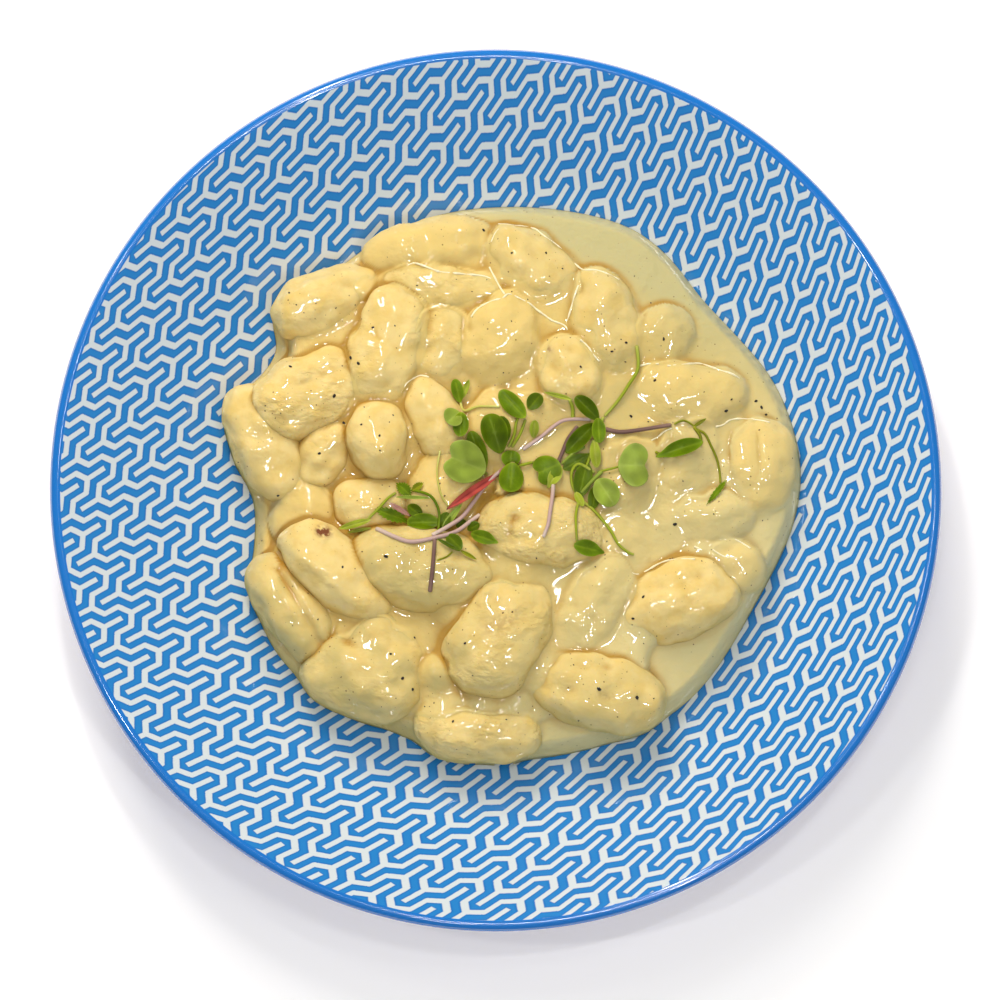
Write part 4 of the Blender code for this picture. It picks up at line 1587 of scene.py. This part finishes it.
@dataclass
class Sprig:
    """One sprig of microgreens: its stems and blades lie on the heap."""

    node: str
    stems: tuple[Stem, ...]
    blades: tuple[Blade, ...]
    ground: Relief
    per_bend: int = 7
    pulls: int = 60
    taper: float = 0.15
    tooth_depth: float = 0.52
    skin: float = 0.13 * MM
    clearance: float = 0.35 * MM
    fold: float = 0.22 * MM
    crinkle: float = 0.5 * MM
    vein: float = 0.28 * MM

    def lay_stem(self, body: bmesh.types.BMesh, tint: bmesh.types.BMLayerItem, stem: Stem) -> None:
        """Sweep a stem along its route, lying taut over the heap.

        Args:
            body: The sprig's shape, which the stem is added to.
            tint: Its layer of colours.
            stem: The stem.
        """
        radius = stem.thick * MM / 2
        path = laid_out(stem.route, self.per_bend)
        rests = [self.ground.height(x, y) + 0.7 * radius for x, y in path]
        heights = list(rests)
        for _ in range(self.pulls):
            for k in range(1, len(path) - 1):
                heights[k] = max(rests[k], (heights[k - 1] + heights[k + 1]) / 2)
        last = len(path) - 1
        arched = [h + stem.arch * MM * sin(pi * k / last) for k, h in enumerate(heights)]
        spine = [Vector((x, y, z)) for (x, y), z in zip(path, arched)]
        girths = [radius * (1.0 - self.taper * k / last) for k in range(last + 1)]
        shares = [abs(2 * k / last - 1) ** 3 for k in range(last + 1)]
        body_hue, end_hue = (Vector(colour) for colour in stem.hue.value)
        colours = [body_hue.lerp(end_hue, share) for share in shares]
        sweep(body, spine, girths, tint, colours)

    def lay_blade(self, body: bmesh.types.BMesh, tint: bmesh.types.BMLayerItem, blade: Blade) -> None:
        """Spread a blade from the end of its stalk to its tip.

        Args:
            body: The sprig's shape, which the blade is added to.
            tint: Its layer of colours.
            blade: The blade.
        """
        notch, point, teeth = blade.outline.value
        base, tip = Vector(blade.base) * MM, Vector(blade.tip) * MM
        along, middle = (tip - base) / 2, (tip + base) / 2
        across = Vector((-along.y, along.x)).normalized() * (blade.width * MM / 2)
        levels = [self.ground.height(*spot) for spot in (base, middle, tip)]
        lift = max(levels[1], (levels[0] + levels[2]) / 2) + blade.lift * MM
        slope = min(max((levels[2] - levels[0]) / 2, -0.4 * along.length), 0.4 * along.length)
        segments = 36 + 36 * bool(teeth)
        disc = bmesh.ops.create_uvsphere(body, u_segments=segments, v_segments=14, radius=1.0)["verts"]
        for vert in disc:
            heading, ring, side = atan2(vert.co.y, vert.co.x), vert.co.xy.length, vert.co.z
            reach = 1.0 - notch * swell(heading, 0.42) + point * swell(heading, 0.30)
            reach += 0.10 * swell(pi - abs(heading), 0.4)
            tooth = abs(abs(heading) * teeth / pi % 1.0 - 0.5) - 0.25
            reach *= 1.0 + self.tooth_depth * tooth * bool(teeth)
            p, q = ring * reach * cos(heading), ring * reach * sin(heading)
            spot = middle + along * p + across * q
            bend = blade.cup * across.length * (q * q * 1.3 - 0.5 * p * p) - self.fold * swell(q, 0.16)
            wave = self.crinkle * noise.noise(Vector((*spot, blade.width)) / (4 * MM)) * ring
            z = lift + slope * p + bend + wave
            z = max(z, self.ground.height(*spot) + self.clearance)
            vert.co = (*spot, z + side * self.skin)
            vein = 0.5 * swell(q * across.length, self.vein) * (p < 0.75)
            twig = abs(((p - 0.8 * abs(q)) * 2.6 + 5.0) % 1.0 - 0.5) * 2
            vein += 0.16 * max(1 - twig * 4.0, 0.0) * (ring < 0.85)
            share = min(vein + 0.7 * swell(1.0 - ring, 0.09), 1.0)
            shade = 1.0 + 0.45 * noise.noise(Vector((*spot, lift)) / (3 * MM))
            colour = Vector(blade.hue.value[0]).lerp(Vector(blade.hue.value[1]), share) * shade
            vert[tint] = (*colour, 1.0)

    def build(self, material: bpy.types.Material) -> bpy.types.Object:
        """Make the piece.

        Args:
            material: The greens' finish.

        Returns:
            The piece.
        """
        body = bmesh.new()
        tint = body.verts.layers.float_color.new("tint")
        for stem in self.stems:
            self.lay_stem(body, tint, stem)
        for blade in self.blades:
            self.lay_blade(body, tint, blade)
        bmesh.ops.recalc_face_normals(body, faces=body.faces)
        piece = add_piece(self.node.replace("sprig", "microgreen"), body, material)
        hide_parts(self.node)
        return piece


SPRIGS = {
    1: ((Stem(((-32, -10.5), (-27.5, -13), (-23, -14.5), (-17, -13.5), (-11, -11.5), (-7, -8.5),
               (-4.5, -6.5)), Hue.LILAC, 1.25),
         Stem(((-17, -12.5), (-13, -10), (-9, -7), (-6, -3), (-2, 2.5), (2, 6), (6.5, 8.5)), Hue.LILAC, 1.2, 0.6),
         Stem(((7.5, 11.5), (12, 14.5), (17, 18.5), (20.5, 19.5), (25.5, 19.5)), Hue.LILAC, 1.1, 0.6)),
        (Blade((-6.5, -12), (-0.5, -14.5), 3.6, Hue.LEAF, Outline.POINTED, 1.6),
         Blade((-9.5, -16.5), (-13, -12.5), 3.8, Hue.DARK),
         Blade((-10, -17), (-15.5, -14), 1.2, Hue.DARK, Outline.SLIVER),
         Blade((-9.5, -17), (-5.5, -19.2), 1.1, Hue.OLIVE, Outline.SLIVER, 0.9),
         Blade((-7.5, -10.5), (-4.5, -9), 2.6, Hue.DARK, Outline.OVAL, 0.9),
         Blade((-10.5, -9.5), (-8, -8), 2.2, Hue.DARK, Outline.OVAL, 0.9))),
    2: ((Stem(((22, 17.5), (19.5, 14), (18, 10.5), (16.5, 7)), Hue.PURPLE, 1.2, 0.5),
         Stem(((15.5, 2), (15.2, -2), (14.5, -6.5), (14, -10), (12.7, -13.5)), Hue.LILAC, 1.15, 0.4),
         Stem(((20.8, 19.5), (20.8, 22.5), (20, 24.5)), Hue.SPRING, 1.1)),
        (Blade((20.5, 24.5), (13.5, 26.5), 1.3, Hue.SPRING, Outline.SLIVER, 1.8),
         Blade((17, 7), (10, 4), 8.2, Hue.LEAF, Outline.HEART, 2.2, -0.3),
         Blade((17.5, 6.5), (14.5, 1.5), 3.4, Hue.SPRING, Outline.POINTED, 1.6),
         Blade((10.2, 14.5), (10.6, 19), 2.6, Hue.SPRING, Outline.OVAL, 1.2))),
    3: ((Stem(((38.2, 39.5), (38.5, 33.5), (36, 29), (33, 24.5), (29.5, 20.5)), Hue.SPRING, 1.0, 0.6),
         Stem(((29, 20), (27.5, 15), (26, 11), (24, 5), (23, 0)), Hue.SPRING, 1.0),
         Stem(((18, 7.5), (20.5, 9.8), (24, 12)), Hue.PALE, 0.9, 0.8),
         Stem(((28.5, 5), (26, 2.5), (23.2, -0.5)), Hue.PALE, 1.1, 1.2),
         Stem(((26.5, 5), (22.5, 7.2), (20.5, 5), (20.8, 1), (23, -2)), Hue.SPRING, 0.9, 0.8),
         Stem(((27.5, 5), (31.5, 5.8), (34, 6.5)), Hue.SPRING, 0.7, 1.0)),
        (Blade((27.5, 19.5), (21.5, 25.3), 4.4, Hue.DARK, Outline.OVAL, 2.2, 0.6),
         Blade((27.6, 19.5), (28, 12.8), 3.8, Hue.LEAF, Outline.OVAL, 2.0),
         Blade((26.5, 18), (19, 10.3), 4.6, Hue.DARK, Outline.OVAL, 1.3, 0.6),
         Blade((26.5, 13.5), (27.2, 6), 3.0, Hue.SPRING, Outline.OVAL, 1.8),
         Blade((24.5, 7.5), (22.5, -1.5), 5.0, Hue.DARK, Outline.POINTED, 1.0),
         Blade((18.5, 6), (24.5, 9.5), 3.8, Hue.DARK, Outline.POINTED, 0.8),
         Blade((27, 1), (26, -5), 3.4, Hue.DARK, Outline.OVAL, 0.6),
         Blade((27.5, 2.6), (32, -4.3), 6.9, Hue.PALE, Outline.OVAL, 1.4))),
    4: ((Stem(((29.8, 16.8), (33.5, 16), (38, 16.4), (47.2, 17.9)), Hue.PURPLE, 1.25, 0.4),),
        (Blade((33.3, 6.3), (42, 6.4), 12.0, Hue.PALE, Outline.HEART, 1.8, 0.12),)),
    5: ((Stem(((-9.5, 25), (-8.5, 22), (-4.5, 23), (1, 22.8)), Hue.STRAW, 0.8),
         Stem(((-2.5, 5), (-5.5, 8), (-8.5, 10.5)), Hue.PALE, 0.9, 0.8),
         Stem(((3.5, 12), (5, 15), (5.5, 18), (6.5, 21)), Hue.SPRING, 0.9, 0.5),
         Stem(((4.5, 12), (6.5, 15), (8, 19)), Hue.SPRING, 0.9, 0.9),
         Stem(((6, 6.8), (8, 7.2), (10, 7.8)), Hue.SPRING, 0.9, 0.8),
         Stem(((-15, 10.5), (-15.8, 5.5), (-15.4, 1), (-14.2, -2.5), (-12, -5)), Hue.STRAW, 0.55, 0.3)),
        (Blade((-9.6, 24.5), (-11, 30.6), 3.3, Hue.LEAF, Outline.OVAL, 1.4),
         Blade((-9, 25.5), (-7.2, 30.2), 1.7, Hue.SPRING, Outline.SLIVER, 1.2),
         Blade((-9.8, 21), (-13.2, 18), 5.6, Hue.PALE, Outline.OVAL, 1.2),
         Blade((-9.3, 20.8), (-9.6, 14.2), 4.4, Hue.LEAF, Outline.OVAL, 1.6),
         Blade((-3, 6.5), (-6.8, 16.2), 4.6, Hue.LEAF, Outline.OVAL, 1.1),
         Blade((-3.2, 5.5), (-14.4, 9.4), 11.6, Hue.PALE, Outline.HEART, 2.0, 0.10),
         Blade((1.2, 10.5), (-2, 20.6), 7.2, Hue.DARK, Outline.OVAL, 2.0, 0.55),
         Blade((2.5, 13), (1.2, 20), 4.5, Hue.DARK, Outline.OVAL, 0.9),
         Blade((7.6, 19.5), (1.2, 27), 5.2, Hue.LEAF, Outline.OVAL, 2.4, -0.3),
         Blade((9, 22.2), (12.2, 26.3), 4.2, Hue.DARK, Outline.OVAL, 0.7),
         Blade((4, 6.5), (4.2, 11), 5.2, Hue.LEAF, Outline.OVAL, 1.5),
         Blade((4.5, 7.2), (3.8, -0.9), 6.8, Hue.LEAF, Outline.OVAL, 2.0, -0.35))),
    6: ((Stem(((-34.3, -7.5), (-31.5, -4.8), (-29, -2), (-27, -0.5)), Hue.SPRING, 0.8, 0.3),
         Stem(((-22.5, 0.3), (-18, -1.5), (-16, -4), (-15.2, -7), (-15.5, -10.8)), Hue.LEAF, 0.8, 0.9)),
        (Blade((-34, -8), (-41.8, -9.9), 2.0, Hue.SPRING, Outline.SLIVER, 0.8),
         Blade((-33.8, -10), (-39.6, -10.8), 1.0, Hue.SPRING, Outline.SLIVER, 0.6),
         Blade((-23, -1), (-26.3, 2), 3.2, Hue.LEAF, Outline.TOOTHED, 1.2),
         Blade((-22.5, 0.2), (-19.8, 1.8), 2.0, Hue.OLIVE, Outline.TOOTHED, 0.8),
         Blade((-26.5, -1.8), (-18, -2.4), 1.0, Hue.PALE, Outline.SLIVER, 1.8),
         Blade((-31.8, -5.3), (-24.2, -7.8), 3.2, Hue.LEAF, Outline.TOOTHED, 1.0),
         Blade((-28.5, -3.5), (-23.5, -6.3), 1.4, Hue.PINK, Outline.SLIVER, 1.4),
         Blade((-23.5, -3.8), (-20, -6.8), 3.2, Hue.DARK, Outline.OVAL, 0.8),
         Blade((-15.4, -8.5), (-24, -8.3), 4.6, Hue.LEAF, Outline.OVAL, 1.8))),
    7: ((Stem(((6.5, 8.5), (3, 6.5), (-0.5, 4)), Hue.PINK, 1.3, 0.9),),
        (Blade((0.5, 4.6), (-12.4, -4.7), 2.5, Hue.BURGUNDY, Outline.SLIVER, 1.5, 0.6),)),
    8: ((Stem(((-17.8, -28), (-17.2, -23), (-16.8, -18), (-16.5, -14)), Hue.PURPLE, 1.2),
         Stem(((-15.8, -19.7), (-13.5, -18.8), (-11.8, -17.3)), Hue.OLIVE, 0.5)),
        (Blade((-14.3, -10.2), (-9.5, -4.2), 1.9, Hue.PALE, Outline.SLIVER, 1.6),
         Blade((-15, -10.5), (-12.8, -6), 3.4, Hue.DARK, Outline.OVAL, 0.7))),
    9: ((Stem(((22.3, -3.3), (21.5, -7), (21.5, -11), (21.7, -14.2)), Hue.SPRING, 0.8, 0.4),),
        (Blade((21.2, -15.5), (28, -16.8), 4.4, Hue.LEAF, Outline.POINTED, 1.2),
         Blade((21.5, -0.5), (23.5, -4.6), 2.2, Hue.SPRING, Outline.OVAL, 1.2))),
    10: ((Stem(((23.3, -2.8), (26, -5), (28.5, -7.8), (31, -11.2), (33, -14.8), (35.5, -16.8),
                (37, -17.4)), Hue.SPRING, 0.85),), ()),
    11: ((Stem(((46.6, 10.4), (44.4, 9.8), (43.2, 10.4)), Hue.OLIVE, 1.0, 0.3),
          Stem(((48.3, 18.2), (50.8, 19.1), (53.6, 17.6)), Hue.OLIVE, 0.6),
          Stem(((53.6, 17.3), (55.2, 14.8), (55.3, 12.4)), Hue.OLIVE, 0.9),
          Stem(((54, 16.8), (56.4, 15.6), (58, 12.6), (59.6, 9), (60.4, 5.4), (60.6, 2.4)), Hue.OLIVE, 0.7)),
         (Blade((53.4, 17.4), (56.6, 19.4), 1.0, Hue.OLIVE, Outline.SLIVER, 0.7),
          Blade((55.4, 13), (45.0, 9.6), 4.4, Hue.LEAF, Outline.POINTED, 1.0, 0.5),
          Blade((61.9, 2.6), (57.4, -3.2), 1.6, Hue.LEAF, Outline.TOOTHED, 0.6))),
}


# ------------------------------------------------------------------------------ studio


@dataclass(frozen=True)
class Lamp:
    """A soft lamp that faces the bowl: its place and size in metres, its power in watts."""

    name: str
    place: tuple[float, float, float]
    size: tuple[float, float]
    power: float
    colour: Colour = WHITE
    glints: bool = True


LAMPS = (
    Lamp("key", (-0.24, 0.91, 0.69), (0.6, 0.6), 12.0, (1.0, 0.92, 0.80), False),
    Lamp("fill", (0.0, -0.575, 1.03), (0.6, 0.6), 2.3, (1.0, 0.97, 0.87), False),
    Lamp("side", (0.95, -0.10, 0.75), (0.6, 0.6), 1.0, (1.0, 0.97, 0.90), False),
    Lamp("tube_top", (0.08, 0.02, 1.50), (0.04, 0.22), 2.2),
    Lamp("tube_far", (-0.17, 0.60, 1.02), (0.04, 0.20), 1.8),
    Lamp("tube_near", (0.30, -0.42, 1.15), (0.04, 0.15), 1.4),
    Lamp("tube_right", (0.24, 0.16, 1.35), (0.03, 0.10), 0.5),
    Lamp("tube_corner", (-0.32, 0.38, 1.20), (0.03, 0.10), 0.5),
    Lamp("tube_front", (-0.06, -0.48, 1.18), (0.10, 0.03), 0.5),
    Lamp("tube_left", (-0.48, -0.12, 1.20), (0.04, 0.15), 1.4),
)


@dataclass
class Studio:
    """Pale floor, soft light from the far left, small lamps for the glints, and the camera."""

    rim_centre: Vector
    elevation: float = radians(81.6)
    azimuth: float = radians(-6.5)
    distance: float = 3.0
    view_width: float = 0.2688
    aim: tuple[float, float] = (1.04 * MM, -3.50 * MM)
    sensor: float = 36.0
    floor_reach: float = 3.0
    sky: Colour = (0.60, 0.79, 0.97)
    sky_strength: float = 0.385

    def build(self) -> None:
        """Set up the floor, the world, the lamps and the camera."""
        self.floor()
        self.world()
        for lamp in LAMPS:
            self.hang(lamp)
        self.camera()

    def floor(self) -> None:
        """A wide pale floor."""
        body = bmesh.new()
        bmesh.ops.create_grid(body, x_segments=1, y_segments=1, size=self.floor_reach)
        graph = Graph("studio_floor", Roughness=0.9, Base_Color=(0.93, 0.93, 0.93),
                      Emission_Color=(1.0, 0.58, 0.22), Emission_Strength=0.18)
        mesh = bpy.data.meshes.new("studio_floor")
        body.to_mesh(mesh)
        body.free()
        mesh.materials.append(graph.material)
        floor = bpy.data.objects.new("studio_floor", mesh)
        bpy.context.scene.collection.objects.link(floor)

    def world(self) -> None:
        """Even, cool light from all round."""
        world = bpy.data.worlds.new("studio_world")
        world.use_nodes = True
        sky = world.node_tree.nodes["Background"]
        sky.inputs["Color"].default_value = (*self.sky, 1.0)
        sky.inputs["Strength"].default_value = self.sky_strength
        bpy.context.scene.world = world
        bpy.context.scene.view_settings.view_transform = "Standard"

    def hang(self, lamp: Lamp) -> None:
        """Hang a lamp and turn it to the bowl.

        Args:
            lamp: The lamp.
        """
        light = bpy.data.lights.new(lamp.name, "AREA")
        light.shape = "RECTANGLE"
        light.size, light.size_y = lamp.size
        light.energy = lamp.power
        light.color = lamp.colour
        holder = bpy.data.objects.new(lamp.name, light)
        holder.location = lamp.place
        facing = self.rim_centre - Vector(lamp.place)
        holder.rotation_euler = facing.to_track_quat("-Z", "Y").to_euler()
        holder.visible_glossy = lamp.glints
        bpy.context.scene.collection.objects.link(holder)

    def camera(self) -> None:
        """The camera, high over the near side of the bowl."""
        flat = cos(self.elevation)
        back = Vector((sin(self.azimuth) * flat, -cos(self.azimuth) * flat, sin(self.elevation)))
        right = (Vector((1.0, 0.0, 0.0)) - back * back.x).normalized()
        up = back.cross(right)
        camera = bpy.data.cameras.new("camera")
        camera.sensor_width = self.sensor
        camera.lens = camera.sensor_width * self.distance / self.view_width
        holder = bpy.data.objects.new("camera", camera)
        turn = Matrix((right, up, back)).transposed().to_4x4()
        aim = self.rim_centre + right * self.aim[0] + up * self.aim[1]
        holder.matrix_world = Matrix.Translation(aim + back * self.distance) @ turn
        bpy.context.scene.collection.objects.link(holder)
        bpy.context.scene.camera = holder


def main() -> None:
    """Build every piece, in order, and report each one."""
    logging.basicConfig(level=logging.INFO, format="%(message)s")
    bowl = CoupeBowl()
    pieces = bowl.build()
    dough = DOUGH.material()
    names = sorted(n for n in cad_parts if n.startswith("gnocco_"))
    gnocchi = [Gnocco(n, TRAITS.get(int(n[-2:]), Traits())) for n in names]
    dumplings = [one.build(dough) for one in gnocchi]
    sauce = CreamSauce(bowl, gnocchi, Relief(dumplings)).build(SAUCE.material())
    heap = dumplings + [sauce]
    relief = Relief(heap)
    CreaseShade().paint_on(heap, relief)
    greens = FreshGreens().material()
    pieces += heap + [Menisci(relief, LINES).build(), Pepper(relief, GRAINS).build()]
    pieces += [Sprig(f"sprig_{n:02d}", *SPRIGS[n], relief).build(greens) for n in sorted(SPRIGS)]
    Studio(Vector((0.0, 0.0, bowl.brim))).build()
    for piece in pieces:
        log.info("%s: %d faces", piece.name, len(piece.data.polygons))


if __name__ == "__main__":
    main()
